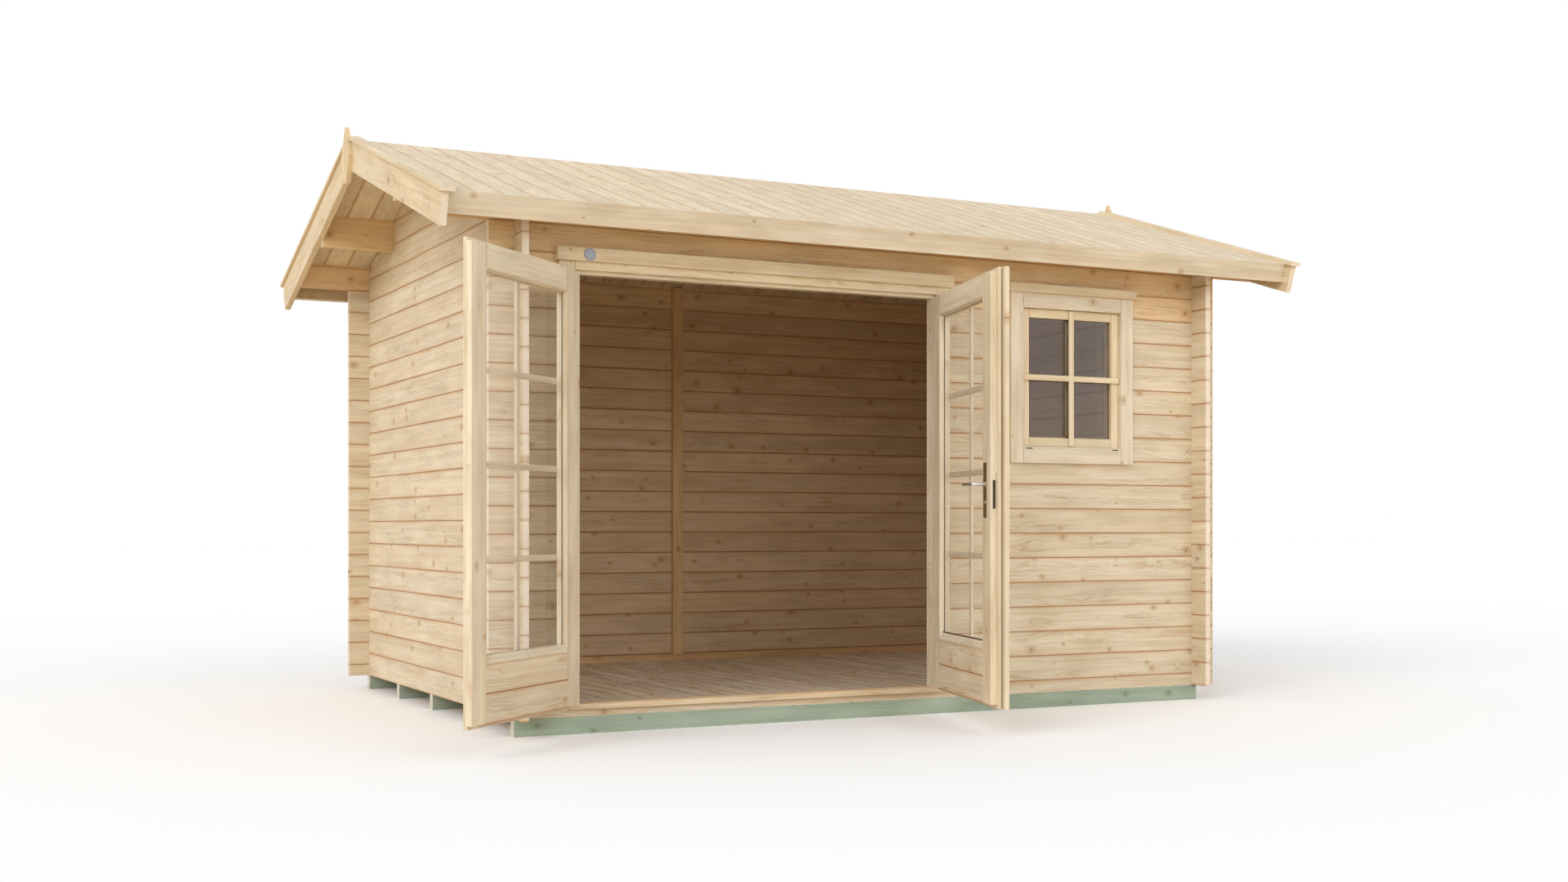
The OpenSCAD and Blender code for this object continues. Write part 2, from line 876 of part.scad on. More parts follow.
// Depth of the lock's metal strip in the right leaf's edge
face_y = lip_back + face_in;

module right_leaf_frame() {
    bore_play = 1.5;
    color(spruce_pale) in_house() right_closed() opened(right_open) difference() {
        leaf_frame(right_lip_x1);
        lock_face(face_y);
        for (z = [lever_z, lever_z - cylinder_drop])
            at_lock(z) translate([0, 0, -leaf_back - cut])
                cylinder(r = max(neck_r, cylinder_r) + bore_play,
                    h = leaf_t + 2 * cut);
    }
}

module right_leaf_panel() {
    in_house() right_closed() opened(right_open) leaf_panel();
}

module right_leaf_glass() {
    in_house() right_closed() opened(right_open) leaf_glass();
}

module right_hinges() {
    in_house() right_closed() opened(right_open) leaf_hinges();
}

// The strip on the outside of the right leaf that laps over the left leaf
module astragal() {
    end = right_lip_x1;
    lap = lip_front - door_gap;
    front = lip_front - astragal_t;
    color(spruce_pale) in_house() right_closed() opened(right_open)
        translate([0, 0, leaf_foot - lip_w])
            linear_extrude(leaf_head - leaf_foot + 2 * lip_w) polygon([
                [end - astragal_w, lip_front], [end, lip_front], [end, lap],
                [end + astragal_over, lap], [end + astragal_over, front],
                [end - astragal_w, front]
            ]);
}

// Long plates on both faces, joined by the lock cylinder, and the lock's face
module lock_plates() {
    plate_z = lever_z - lock_plate_h / 2;
    mid = -cylinder_drop / 3;
    half = lock_plate_w / 2;
    color(steel) in_house() right_closed() opened(right_open) {
        difference() {
            union() {
                block([lever_x - half, leaf_back, plate_z + mid],
                    [lever_x + half, leaf_back + plate_t_lock,
                        plate_z + mid + lock_plate_h]);
                block([lever_x - half, lip_front - plate_t_lock, plate_z + mid],
                    [lever_x + half, lip_front, plate_z + mid + lock_plate_h]);
                at_lock(lever_z - cylinder_drop)
                    translate([0, 0, -leaf_back - 2 * plate_t_lock])
                        cylinder(r = cylinder_r, h = leaf_t + 4 * plate_t_lock);
            }
            at_lock(lever_z) translate([0, 0, -leaf_back - cut])
                cylinder(r = neck_r + pin_gap, h = leaf_t + 2 * cut);
        }
        lock_face(face_y);
    }
}

// One grip, standing on its neck, pointing to the hinges
module grip() {
    linear_extrude(grip_t) polygon([
        [neck_r, -grip_h / 2], [neck_r, grip_h / 2],
        [-lever_l, grip_end_h / 2], [-lever_l, -grip_end_h / 2]
    ]);
}

// The neck runs through the leaf and carries a grip on each side
module lever_handle() {
    inner = leaf_back + plate_t_lock + lever_out;
    outer = -lip_front + plate_t_lock + lever_out;
    color(steel) in_house() right_closed() opened(right_open) at_lock(lever_z) {
        translate([0, 0, -inner]) cylinder(r = neck_r, h = inner + outer);
        translate([0, 0, outer - grip_t]) grip();
        translate([0, 0, -inner]) grip();
    }
}

// ---- output ----

foundation_beams();
floor_boards();
skirting();
left_wall();
right_wall();
back_wall();
front_wall_left();
front_wall_right();
front_wall_top();
sill_log();
eaves_logs();
purlins();
roof_front();
roof_back();
barge_boards_left();
barge_boards_right();
cap_strips();
apex_boards();
fascia_front();
fascia_back();
wall_batten();
door_frame();
threshold();
door_casings();
drip_boards();
round_plate();
window_frame();
window_sash();
window_glass();
window_casings();
hinge_pins();
left_leaf_frame();
left_leaf_panel();
left_leaf_glass();
left_hinges();
right_leaf_frame();
right_leaf_panel();
right_leaf_glass();
astragal();
right_hinges();
lock_plates();
lever_handle();
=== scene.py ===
"""Garden house of interlocking spruce logs: boards, bars, fittings, finishes and stage.

Metres, with the origin on the ground under the middle of the house, +X along the door
side, +Y to the back and +Z up. The door side faces -Y.
"""

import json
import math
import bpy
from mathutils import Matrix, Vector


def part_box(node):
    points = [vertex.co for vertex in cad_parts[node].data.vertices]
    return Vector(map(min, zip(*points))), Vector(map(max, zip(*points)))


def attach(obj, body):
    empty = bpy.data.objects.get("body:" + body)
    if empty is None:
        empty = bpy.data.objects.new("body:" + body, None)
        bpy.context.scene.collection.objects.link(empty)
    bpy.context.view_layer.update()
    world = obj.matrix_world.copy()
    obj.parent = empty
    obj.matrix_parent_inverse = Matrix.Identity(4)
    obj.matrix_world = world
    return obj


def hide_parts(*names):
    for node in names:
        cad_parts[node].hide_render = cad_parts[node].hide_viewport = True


bl_info = {
    "name": "Garden House",
    "version": (1, 0, 0),
    "blender": (4, 5, 0),
    "location": "View3D > Sidebar > Garden House",
    "description": "Boards, glazing bars, fittings and finishes of a log garden house",
    "category": "Object",
}

import bmesh
import bpy
import numpy as np
from bpy.props import FloatProperty, FloatVectorProperty, IntProperty, PointerProperty

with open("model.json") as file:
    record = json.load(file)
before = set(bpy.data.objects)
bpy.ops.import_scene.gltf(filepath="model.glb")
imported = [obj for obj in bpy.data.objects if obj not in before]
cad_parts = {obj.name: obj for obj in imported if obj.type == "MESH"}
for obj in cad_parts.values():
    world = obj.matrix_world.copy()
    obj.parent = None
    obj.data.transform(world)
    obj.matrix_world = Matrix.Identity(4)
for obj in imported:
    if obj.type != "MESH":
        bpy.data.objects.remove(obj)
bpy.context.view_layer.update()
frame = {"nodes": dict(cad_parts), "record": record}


# ---- colours ----

def linear(hex_code, alpha=1.0):
    """An sRGB hex colour as the linear numbers that the shaders take."""
    parts = [int(hex_code[i:i + 2], 16) / 255 for i in (1, 3, 5)]
    return tuple(p / 12.92 if p <= 0.04045 else ((p + 0.055) / 1.055) ** 2.4
                 for p in parts) + (alpha,)


# ---- places taken from the solids ----

def box(node):
    """Lowest and highest corner of a CAD node."""
    return np.array(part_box(node), float)


def corners_of(node):
    """All points of a CAD node as one array."""
    mesh = frame["nodes"][node].data
    points = np.empty(len(mesh.vertices) * 3)
    mesh.vertices.foreach_get("co", points)
    return points.reshape(-1, 3)


def slab_line(node, sign):
    """Topmost and lowest outer point of a roof slab that falls to that side."""
    points = corners_of(node)
    outwards = points[:, 1] * sign + points[:, 2] * 0.4
    return points[np.argmax(points[:, 2])], points[np.argmax(outwards)]


# Height that one log covers and width that one roof or floor board covers
LOG_PITCH, ROOF_COVER, FLOOR_COVER = 0.112, 0.115, 0.0875
# Where the logs start
FLOOR_OF_LOGS = box("foundation_beams")[1, 2]
JOINTS = {j["name"]: j for j in frame["record"]["behaviour"]["joints"]}
# Step between two faces that would otherwise share one plane
HAIR = 0.0004


class Leaf:
    """One door leaf. Its own axes run from the hinge pins: u along the leaf, v across it
    (towards the room when closed) and z up."""

    def __init__(self, side, joint):
        self.body = side + "_door"
        self.side = side
        self.pin = np.array(JOINTS[joint]["pos_m"])
        self.sign = 1.0 if side == "left" else -1.0
        opened = -math.radians(JOINTS[joint]["range_deg"][0])
        self.turn = -self.sign * opened

    def place(self, points):
        """Points in the leaf's axes, turned about the pins to where the leaf stands."""
        points = np.asarray(points, float)
        u, v = points[..., 0] * self.sign, points[..., 1]
        c, s = math.cos(self.turn), math.sin(self.turn)
        return np.stack([self.pin[0] + u * c - v * s, self.pin[1] + u * s + v * c,
                         points[..., 2]], axis=-1)

    def room(self, node):
        """Lowest and highest corner of a node in the leaf's axes."""
        points = corners_of(node) - [self.pin[0], self.pin[1], 0]
        c, s = math.cos(self.turn), math.sin(self.turn)
        u = (points[:, 0] * c + points[:, 1] * s) * self.sign
        v = -points[:, 0] * s + points[:, 1] * c
        local = np.stack([u, v, points[:, 2]], axis=-1)
        return local.min(axis=0), local.max(axis=0)


LEAVES = {"left": Leaf("left", "left_door_swing"),
          "right": Leaf("right", "right_door_swing")}


# ---- surfaces ----

def put(name, data):
    """An object for that data, in the scene."""
    made = bpy.data.objects.new(name, data)
    bpy.context.scene.collection.objects.link(made)
    return made


def piece(name, parts, body, material, smooth=False, replaces=()):
    """One object from (points, faces) parts, with its faces turned outwards."""
    mesh = bpy.data.meshes.new(name)
    points, faces, start = [], [], 0
    for part_points, part_faces in parts:
        points.append(np.asarray(part_points, float).reshape(-1, 3))
        faces.extend([[start + i for i in face] for face in part_faces])
        start += len(points[-1])
    mesh.from_pydata(np.concatenate(points).tolist(), [], faces)
    work = bmesh.new()
    work.from_mesh(mesh)
    bmesh.ops.recalc_face_normals(work, faces=work.faces)
    work.to_mesh(mesh)
    work.free()
    if smooth:
        mesh.shade_smooth()
        mesh.set_sharp_from_angle(angle=math.radians(35))
    mesh.materials.append(material)
    made = put(name, mesh)
    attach(made, body)
    if replaces:
        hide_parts(*replaces)
    return made


def unit(vectors):
    """The same directions at length one."""
    return vectors / np.linalg.norm(vectors, axis=-1, keepdims=True)


def circle(steps):
    """Cosines and sines of even steps round a whole turn."""
    t = np.arange(steps) * 2 * math.pi / steps
    return np.cos(t), np.sin(t)


def grid_faces(rows, columns, wrap=False, row_wrap=False):
    """Quads between neighbouring points of a grid of rows by columns."""
    r = np.arange(rows if row_wrap else rows - 1)
    c = np.arange(columns if wrap else columns - 1)
    r, c = (a.ravel() for a in np.meshgrid(r, c, indexing="ij"))
    r1, c1 = (r + 1) % rows, (c + 1) % columns
    quads = np.stack([r * columns + c, r * columns + c1, r1 * columns + c1,
                      r1 * columns + c], axis=1)
    return quads.tolist()


def sweep(profile, path, up, closed=False, skew=(0.0, 0.0)):
    """A closed profile carried along a path that lies square to up.

    A point of the result is path point + side x first number + up x second number. At a
    corner the side is the sum of both neighbours' sides over one plus their dot product,
    which makes a mitre. skew slides the first and last section along the path by that
    much per unit of the second number, for ends that are cut plumb on a slope."""
    profile, path, up = (np.asarray(a, float) for a in (profile, path, up))
    along = unit(np.diff(np.vstack([path, path[:1]]) if closed else path, axis=0))
    before = np.roll(along, 1, axis=0) if closed else np.vstack([along[:1], along])
    after = along if closed else np.vstack([along, along[-1:]])
    side_0, side_1 = np.cross(up, before), np.cross(up, after)
    side = (side_0 + side_1) / (1 + (side_0 * side_1).sum(axis=1, keepdims=True))
    points = (path[:, None] + side[:, None] * profile[None, :, :1] + up
              * profile[None, :, 1:2])
    if not closed:
        points[0] += along[0] * profile[:, 1:2] * skew[0]
        points[-1] += along[-1] * profile[:, 1:2] * skew[1]
    rows, columns = points.shape[:2]
    faces = grid_faces(rows, columns, wrap=True, row_wrap=closed)
    if not closed:
        faces.append(list(range(columns))[::-1])
        faces.append([(rows - 1) * columns + i for i in range(columns)])
    return points, faces


def eased(width, height, radius, steps=3):
    """Outline of a board: a rectangle whose corners are quarter circles of that radius,
    centred across its width and standing on zero."""
    turn = np.linspace(0, math.pi / 2, steps)
    c, s = np.cos(turn), np.sin(turn)
    half = width / 2 - radius
    middles = [(half, height - radius), (-half, height - radius), (-half, radius),
               (half, radius)]
    quarters = [(c, s), (-s, c), (-c, -s), (s, -c)]
    return np.concatenate([np.stack(quarter, axis=1) * radius + middle
                           for quarter, middle in zip(quarters, middles)])


def capped(rings, ends):
    """Rings of points with quads between them and a fan of triangles to each end."""
    rows, steps = rings.shape[:2]
    i = np.arange(steps)
    j = (i + 1) % steps
    last = (rows - 1) * steps
    tip = np.full(steps, rows * steps)
    faces = grid_faces(rows, steps, wrap=True)
    faces += np.stack([tip, j, i], axis=1).tolist()
    faces += np.stack([tip + 1, last + i, last + j], axis=1).tolist()
    return np.vstack([rings.reshape(-1, 3), ends]), faces


def revolve(profile, centre, axis, steps=24):
    """A profile of (radius, height) turned about an axis through centre: a point is
    centre + axis x height + radius x (cos t x first + sin t x second), where first and
    second are square to the axis. It starts and ends on the axis."""
    profile, centre, axis = (np.asarray(a, float) for a in (profile, centre, axis))
    axis = unit(axis)
    first = unit(np.cross(axis, [0.0, 0.0, 1.0] if abs(axis[2]) < 0.9
                          else [1.0, 0.0, 0.0]))
    second = np.cross(axis, first)
    c, s = circle(steps)
    ring = c[:, None] * first + s[:, None] * second
    body = profile[1:-1]
    rings = centre + axis * body[:, None, 1:2] + ring[None] * body[:, None, :1]
    return capped(rings, centre + axis * profile[[0, -1], 1:2])


def tube(path, radii, flat, up, steps=16):
    """An oval carried along a curved path: at each path point it is radius wide across
    and radius times flat high along up. The ends are closed with their middle points."""
    path, radii, flat, up = (np.asarray(a, float) for a in (path, radii, flat, up))
    along = unit(np.gradient(path, axis=0))
    side = unit(np.cross(up, along))
    lift = np.cross(along, side)
    c, s = circle(steps)
    rings = (path[:, None] + side[:, None] * (radii[:, None] * c)[..., None]
             + lift[:, None] * (radii[:, None] * flat[:, None] * s)[..., None])
    return capped(rings, path[[0, -1]])


def board(low, high, radius):
    """A board with eased long edges between two corners, its length along the longest
    side: the eased outline swept along the middle of its underside."""
    low, high = np.asarray(low, float), np.asarray(high, float)
    size = high - low
    length = int(np.argmax(size))
    across, up_axis = [a for a in range(3) if a != length]
    up = np.zeros(3)
    up[up_axis] = 1
    start = (low + high) / 2
    start[up_axis] = low[up_axis]
    end = start.copy()
    start[length], end[length] = low[length], high[length]
    radius = min(radius, size[across] / 2.5, size[up_axis] / 2.5)
    return sweep(eased(size[across], size[up_axis], radius), [start, end], up)


def on_leaf(leaf, parts):
    """Parts built in a leaf's axes, moved to where the leaf stands."""
    return [(leaf.place(points), faces) for points, faces in parts]


def round_pane(x, y, z):
    """The four corners of an upright pane that fills the ranges x and z."""
    return [(x[0], y, z[0]), (x[1], y, z[0]), (x[1], y, z[1]), (x[0], y, z[1])]


def bars(outline, x, y, z, rungs, out, share, sunk=HAIR):
    """An upright bar in the middle of the ranges x and z, and level bars at the rungs.
    The level ones have a share of the height and start deeper by what they are sunk, so
    that no two faces share one plane."""
    up, middle, deep = (0, out, 0), (x[0] + x[1]) / 2, y - out * sunk
    upright = sweep(outline, [(middle, y, z[0]), (middle, y, z[1])], up)
    return [upright] + [sweep(outline * [1, share], [(x[0], deep, rung),
                                                     (x[1], deep, rung)], up)
                        for rung in rungs]


# ---- finishes ----

def add(tree, kind, links=None, values=None, out=0, **settings):
    """Adds a shader node with its settings, input values and links; gives one output.
    The kind is the node's type without the ShaderNode that every type begins with."""
    made = tree.nodes.new("ShaderNode" + kind)
    for key, value in settings.items():
        setattr(made, key, value)
    for key, value in (values or {}).items():
        made.inputs[key].default_value = value
    for key, source in (links or {}).items():
        tree.links.new(source, made.inputs[key])
    return made.outputs[out] if len(made.outputs) else made


def blank(name):
    """An empty material with its output node."""
    material = bpy.data.materials.new(name)
    material.use_nodes = True
    material.node_tree.nodes.clear()
    return material, material.node_tree


def close(tree, shader):
    """Joins the shader to the material's output."""
    add(tree, "OutputMaterial", {"Surface": shader})


RGBA = {"data_type": "RGBA", "out": 2}
TINTED = {"blend_type": "MULTIPLY", **RGBA}
SMOOTH = {"interpolation_type": "SMOOTHSTEP"}
# Length of board with one chance of a knot, rows of knots in a metre across the boards,
# and the largest knot's radius
KNOT_STEP, KNOT_ROWS, KNOT_SIZE = 0.24, 9.0, 0.009
# Rings lie 6 mm apart: real ones are 2 to 3 mm apart, too fine to show from here
RING_STEP = 0.006
# Width of the stained line where two pieces of a frame meet
SEAM = 0.0022
# What is left of red, green and blue indoors: painted shade of the dim room, darker and
# redder
INDOOR_SHADE_TINT = (1.0, 0.875, 0.765, 1.0)
GRAIN_TURNS = {"x": (0, 0, 0), "y": (0, 0, math.pi / 2), "z": (0, math.pi / 2, 0)}


def in_room(tree, where, room):
    """One inside the room's box and zero outside it, or nothing if there is no room."""
    indoors = None
    for index, (low, high) in enumerate(room):
        place = add(tree, "SeparateXYZ", {0: where}, out=index)
        place = add(tree, "Math", {0: place}, {1: (low + high) / 2, 2: (high - low) / 2},
                    operation="COMPARE")
        indoors = place if indoors is None else add(tree, "Math", {0: indoors, 1: place},
                                                    operation="MULTIPLY")
    return indoors


def lay_grain(tree, where, facing, level_x, grain, uprights):
    """Turns the place and the face's direction so that the grain runs along the first
    axis. It comes from upright within the ranges along the wall, if there are any, and
    otherwise from one axis for the whole piece."""
    if uprights:
        masks = [add(tree, "Math", {0: level_x},
                     {1: (low + high) / 2, 2: (high - low) / 2}, operation="COMPARE")
                 for low, high in uprights]
        mask = masks[0]
        for other in masks[1:]:
            mask = add(tree, "Math", {0: mask, 1: other}, operation="MAXIMUM")
        swaps = []
        for source, kind in ((where, "POINT"), (facing, "VECTOR")):
            stood = add(tree, "Mapping", {0: source}, {2: GRAIN_TURNS["z"]},
                        vector_type=kind)
            swaps.append(add(tree, "Mix", {0: mask, 4: source, 5: stood},
                             data_type="VECTOR", out=1))
        return swaps
    if grain != "x":
        where = add(tree, "Mapping", {0: where}, {2: GRAIN_TURNS[grain]})
        facing = add(tree, "Mapping", {0: facing}, {2: GRAIN_TURNS[grain]},
                     vector_type="VECTOR")
    return where, facing


def place_in_board(tree, where, lying, slant, pitch, start, side, side_start):
    """Where a point is: how far along and through, the row of its board, how much of
    the board's width from its middle, and three random numbers of that board."""
    axes = [add(tree, "SeparateXYZ", {0: where}, out=i) for i in range(3)]
    along, across, through = axes[0], axes[1 if lying else 2], axes[2 if lying else 1]
    if slant:
        # the height above a line down the slope takes the place of the plain height
        off = add(tree, "Math", {0: along}, {1: slant[0]}, operation="SUBTRACT")
        off = add(tree, "Math", {0: off}, operation="ABSOLUTE")
        across = add(tree, "Math", {0: off, 2: across}, {1: slant[1]},
                     operation="MULTIPLY_ADD")
    count = add(tree, "Math", {0: across}, {1: start}, operation="SUBTRACT")
    count = add(tree, "Math", {0: count}, {1: pitch}, operation="DIVIDE")
    row = add(tree, "Math", {0: count}, operation="FLOOR")
    layer = add(tree, "Math", {0: through}, {1: side, 2: side_start},
                operation="MULTIPLY_ADD")
    layer = add(tree, "Math", {0: layer}, operation="FLOOR")
    board_id = add(tree, "CombineXYZ", {0: row, 1: layer})
    chance = add(tree, "TexWhiteNoise", {0: board_id}, out=1, noise_dimensions="3D")
    luck = [add(tree, "SeparateXYZ", {0: chance}, out=i) for i in range(3)]
    inside = add(tree, "Math", {0: count, 1: row}, operation="SUBTRACT")
    inside = add(tree, "Math", {0: inside}, {1: 0.5}, operation="SUBTRACT")
    return along, through, row, inside, luck


def knot_field(tree, shifted, offset, row, knots):
    """How far the nearest knot is and how far its halo, the knot's size, and how much it
    pushes the rings aside. Most knots are cut across, and so are taller than long."""
    cell = add(tree, "Math", {0: shifted}, {1: KNOT_STEP}, operation="DIVIDE")
    lane = add(tree, "Math", {0: offset, 2: row}, {1: KNOT_ROWS}, operation="MULTIPLY_ADD")
    knot_at = add(tree, "CombineXYZ", {0: cell, 1: lane})
    spots = [add(tree, "TexVoronoi", {0: knot_at}, {"Scale": 1.0}, out=out,
                 voronoi_dimensions="2D") for out in ("Position", "Color")]
    away = add(tree, "VectorMath", {0: knot_at, 1: spots[0]}, operation="SUBTRACT")
    away = add(tree, "VectorMath", {0: away},
               {1: (KNOT_STEP * 1.7, 0.62 / KNOT_ROWS, 0)}, operation="MULTIPLY")
    knot_far = add(tree, "VectorMath", {0: away}, out=1, operation="LENGTH")
    fate = add(tree, "SeparateXYZ", {0: spots[1]}, out=0)
    size = add(tree, "MapRange", {0: fate}, {1: 1 - knots, 2: 1.0, 3: 0.0, 4: KNOT_SIZE})
    smear = add(tree, "VectorMath", {0: away}, {1: (KNOT_STEP, 1.0, 0)},
                operation="MULTIPLY")
    smear = add(tree, "VectorMath", {0: smear}, out=1, operation="LENGTH")
    push = add(tree, "Math", {0: knot_far}, {1: 0.026}, operation="DIVIDE")
    push = add(tree, "Math", {0: push, 1: push}, operation="MULTIPLY")
    push = add(tree, "Math", {1: push}, {0: 0.35}, operation="POWER")
    push = add(tree, "Math", {0: push, 1: size}, operation="MULTIPLY")
    return knot_far, smear, size, push


def late_wood(tree, bend_at, offset, through, luck, push):
    """How dark the ring at a point is: it darkens slowly and ends sharply."""
    bend = add(tree, "TexNoise", {0: bend_at},
               {"Scale": 1.0, "Detail": 4.0, "Roughness": 0.5})
    pith_a = add(tree, "MapRange", {0: luck[1]}, {3: -0.045, 4: 0.045})
    pith_b = add(tree, "MapRange", {0: luck[2]}, {3: 0.07, 4: 0.13})
    off_a = add(tree, "Math", {0: offset, 1: pith_a}, operation="SUBTRACT")
    local = add(tree, "Math", {0: through}, {1: 0.075}, operation="PINGPONG")
    off_b = add(tree, "Math", {0: local, 1: pith_b}, operation="SUBTRACT")
    radius = add(tree, "CombineXYZ", {0: off_a, 1: off_b})
    radius = add(tree, "VectorMath", {0: radius}, out=1, operation="LENGTH")
    radius = add(tree, "Math", {0: bend, 2: radius}, {1: 0.06}, operation="MULTIPLY_ADD")
    radius = add(tree, "Math", {0: push, 2: radius}, {1: 1.8}, operation="MULTIPLY_ADD")
    ring = add(tree, "Math", {0: radius}, {1: RING_STEP}, operation="DIVIDE")
    ring = add(tree, "Math", {0: ring}, operation="FRACT")
    rise = add(tree, "MapRange", {0: ring}, {1: 0.35, 2: 0.86}, **SMOOTH)
    fall = add(tree, "MapRange", {0: ring}, {1: 0.88, 2: 1.0, 3: 1.0, 4: 0.0}, **SMOOTH)
    return add(tree, "Math", {0: rise, 1: fall}, operation="MULTIPLY")


def joint_line_and_shade(tree, colour, near, width, streak, gap, soak):
    """The colour with a dark joint line on it: a core that comes and goes along the board,
    in a soft warm band of painted shade, the shade of the groove's hollow. Also gives the
    core."""
    line_unevenness = add(tree, "MapRange", {0: streak}, {1: 0.3, 2: 0.7, 3: 0.65, 4: 1.0})
    # the wide soft band is painted shade of the groove's hollow; the narrow core is the
    # dark joint
    for reach, tint, most in ((width * 3.0, "#c3945f", 0.36), (width * 0.7, gap, soak)):
        line = add(tree, "MapRange", {0: near},
                   {1: reach * 0.25, 2: reach, 3: most, 4: 0.0}, **SMOOTH)
        line = add(tree, "Math", {0: line, 1: line_unevenness}, operation="MULTIPLY")
        colour = add(tree, "Mix", {0: line, 6: colour}, {7: linear(tint)}, **RGBA)
    return colour, line


def timber(name, grain="x", pitch=LOG_PITCH, start=0.0, side=1.0, side_start=0.5,
           lying=False, slant=None, joint=0.0, light="#e0d6c1", dark="#c4a67d",
           knot="#8a5d36", gap="#a5733f", stain="#aa7e4c", soak=0.6, tone=0.055,
           rings=0.42, knots=0.5, turn=0.0, uprights=(), seams=(), sawn=0.0, end=True,
           rough=0.62, room=()):
    """A material for one kind of timber.

    The wood is solid: the rings are round shells about a pith beside each board, so a
    face shows long lines and arches and a sawn end shows arcs. A ring's distance from
    the pith is bent by slow noise and pushed aside round the knots. pitch and start say
    where one board ends and the next begins across the grain, side and side_start do so
    through the thickness; joint is the width of the dark line between boards, which lies
    in a soft band of painted shade, and soak how much of its colour that line has taken.
    turn is how far the piece is turned about the upright axis, and uprights are the
    ranges along it where the grain stands upright; the edges of the ranges in seams get
    the same line and band. slant is a ridge's place and the tangent of the slope, for
    boards that run down both sides of it. room is the box of the room: boards inside it
    are tinted darker and redder, painted shade of the dim room. sawn is how much a rough
    sawn face shows the blade, and end says whether end grain shows paler."""
    material, tree = blank(name)
    where = add(tree, "TexCoord", out=3)
    facing = add(tree, "TexCoord", out=1)
    indoors = in_room(tree, where, room)
    if turn:
        where = add(tree, "Mapping", {0: where}, {2: (0, 0, -turn)})
        facing = add(tree, "Mapping", {0: facing}, {2: (0, 0, -turn)},
                     vector_type="VECTOR")
    level_x = add(tree, "SeparateXYZ", {0: where}, out=0)
    where, facing = lay_grain(tree, where, facing, level_x, grain, uprights)
    along, through, row, inside, luck = place_in_board(
        tree, where, lying, slant, pitch, start, side, side_start)
    offset = add(tree, "Math", {0: inside}, {1: pitch}, operation="MULTIPLY")
    # each board is cut from another stretch of the wood
    shifted = add(tree, "Math", {0: luck[0], 2: along}, {1: 37.0},
                  operation="MULTIPLY_ADD")
    knot_far, smear, size, push = knot_field(tree, shifted, offset, row, knots)
    bend_at = add(tree, "CombineXYZ", {0: shifted, 1: offset, 2: through})
    bend_at = add(tree, "VectorMath", {0: bend_at}, {1: (1.6, 7.0, 7.0)},
                  operation="MULTIPLY")
    late = late_wood(tree, bend_at, offset, through, luck, push)
    # fine fibre along the grain, 3 mm apart, and soft clouds a hand wide
    fibre_at = add(tree, "VectorMath", {0: bend_at}, {1: (3.0, 42.0, 42.0)},
                   operation="MULTIPLY")
    fibre = add(tree, "TexNoise", {0: fibre_at}, {"Scale": 1.0, "Detail": 3.0})
    streak_at = add(tree, "VectorMath", {0: bend_at}, {1: (1.0, 9.0, 9.0)},
                    operation="MULTIPLY")
    streak = add(tree, "TexNoise", {0: streak_at}, {"Scale": 1.0, "Detail": 2.0})
    cloud = add(tree, "TexNoise", {0: bend_at}, {"Scale": 2.2, "Detail": 2.0})
    ends = add(tree, "SeparateXYZ", {0: facing}, out=0)
    ends = add(tree, "Math", {0: ends}, operation="ABSOLUTE")
    ends = add(tree, "Math", {0: ends}, {1: 0.8 if end else 2.0},
               operation="GREATER_THAN")
    # colour: pale early wood, darker late wood, boards of slightly different tone
    strength = add(tree, "MapRange", {0: ends}, {3: rings, 4: rings + 0.55})
    late = add(tree, "Math", {0: late, 1: strength}, operation="MULTIPLY")
    fade = add(tree, "MapRange", {0: cloud}, {1: 0.34, 2: 0.62, 3: 1.25, 4: 0.3})
    late = add(tree, "Math", {0: late, 1: fade}, operation="MULTIPLY")
    fine = add(tree, "MapRange", {0: fibre}, {1: 0.3, 2: 0.7, 3: -0.12, 4: 0.20})
    late = add(tree, "Math", {0: late, 1: fine}, operation="ADD")
    broad = add(tree, "MapRange", {0: streak}, {1: 0.3, 2: 0.7, 3: -0.10, 4: 0.34})
    late = add(tree, "Math", {0: late, 1: broad}, operation="ADD", use_clamp=True)
    colour = add(tree, "Mix", {0: late}, {6: linear(light), 7: linear(dark)}, **RGBA)
    level = add(tree, "MapRange", {0: luck[1]}, {3: 1 - tone, 4: 1 + tone * 0.6})
    patch = add(tree, "MapRange", {0: cloud}, {1: 0.3, 2: 0.7, 3: 0.90, 4: 1.06})
    level = add(tree, "Math", {0: level, 1: patch}, operation="MULTIPLY")
    colour = add(tree, "HueSaturation", {2: level, 4: colour}, {0: 0.5, 1: 1.0, 3: 1.0})
    warmth = add(tree, "MapRange", {0: luck[0]}, {3: 0.0, 4: tone * 3.5})
    colour = add(tree, "Mix", {0: warmth, 6: colour}, {7: linear("#d2b48a")}, **RGBA)
    pale = add(tree, "Math", {0: ends}, {1: 0.58}, operation="MULTIPLY")
    colour = add(tree, "Mix", {0: pale, 6: colour}, {7: linear("#f0e7da")}, **RGBA)
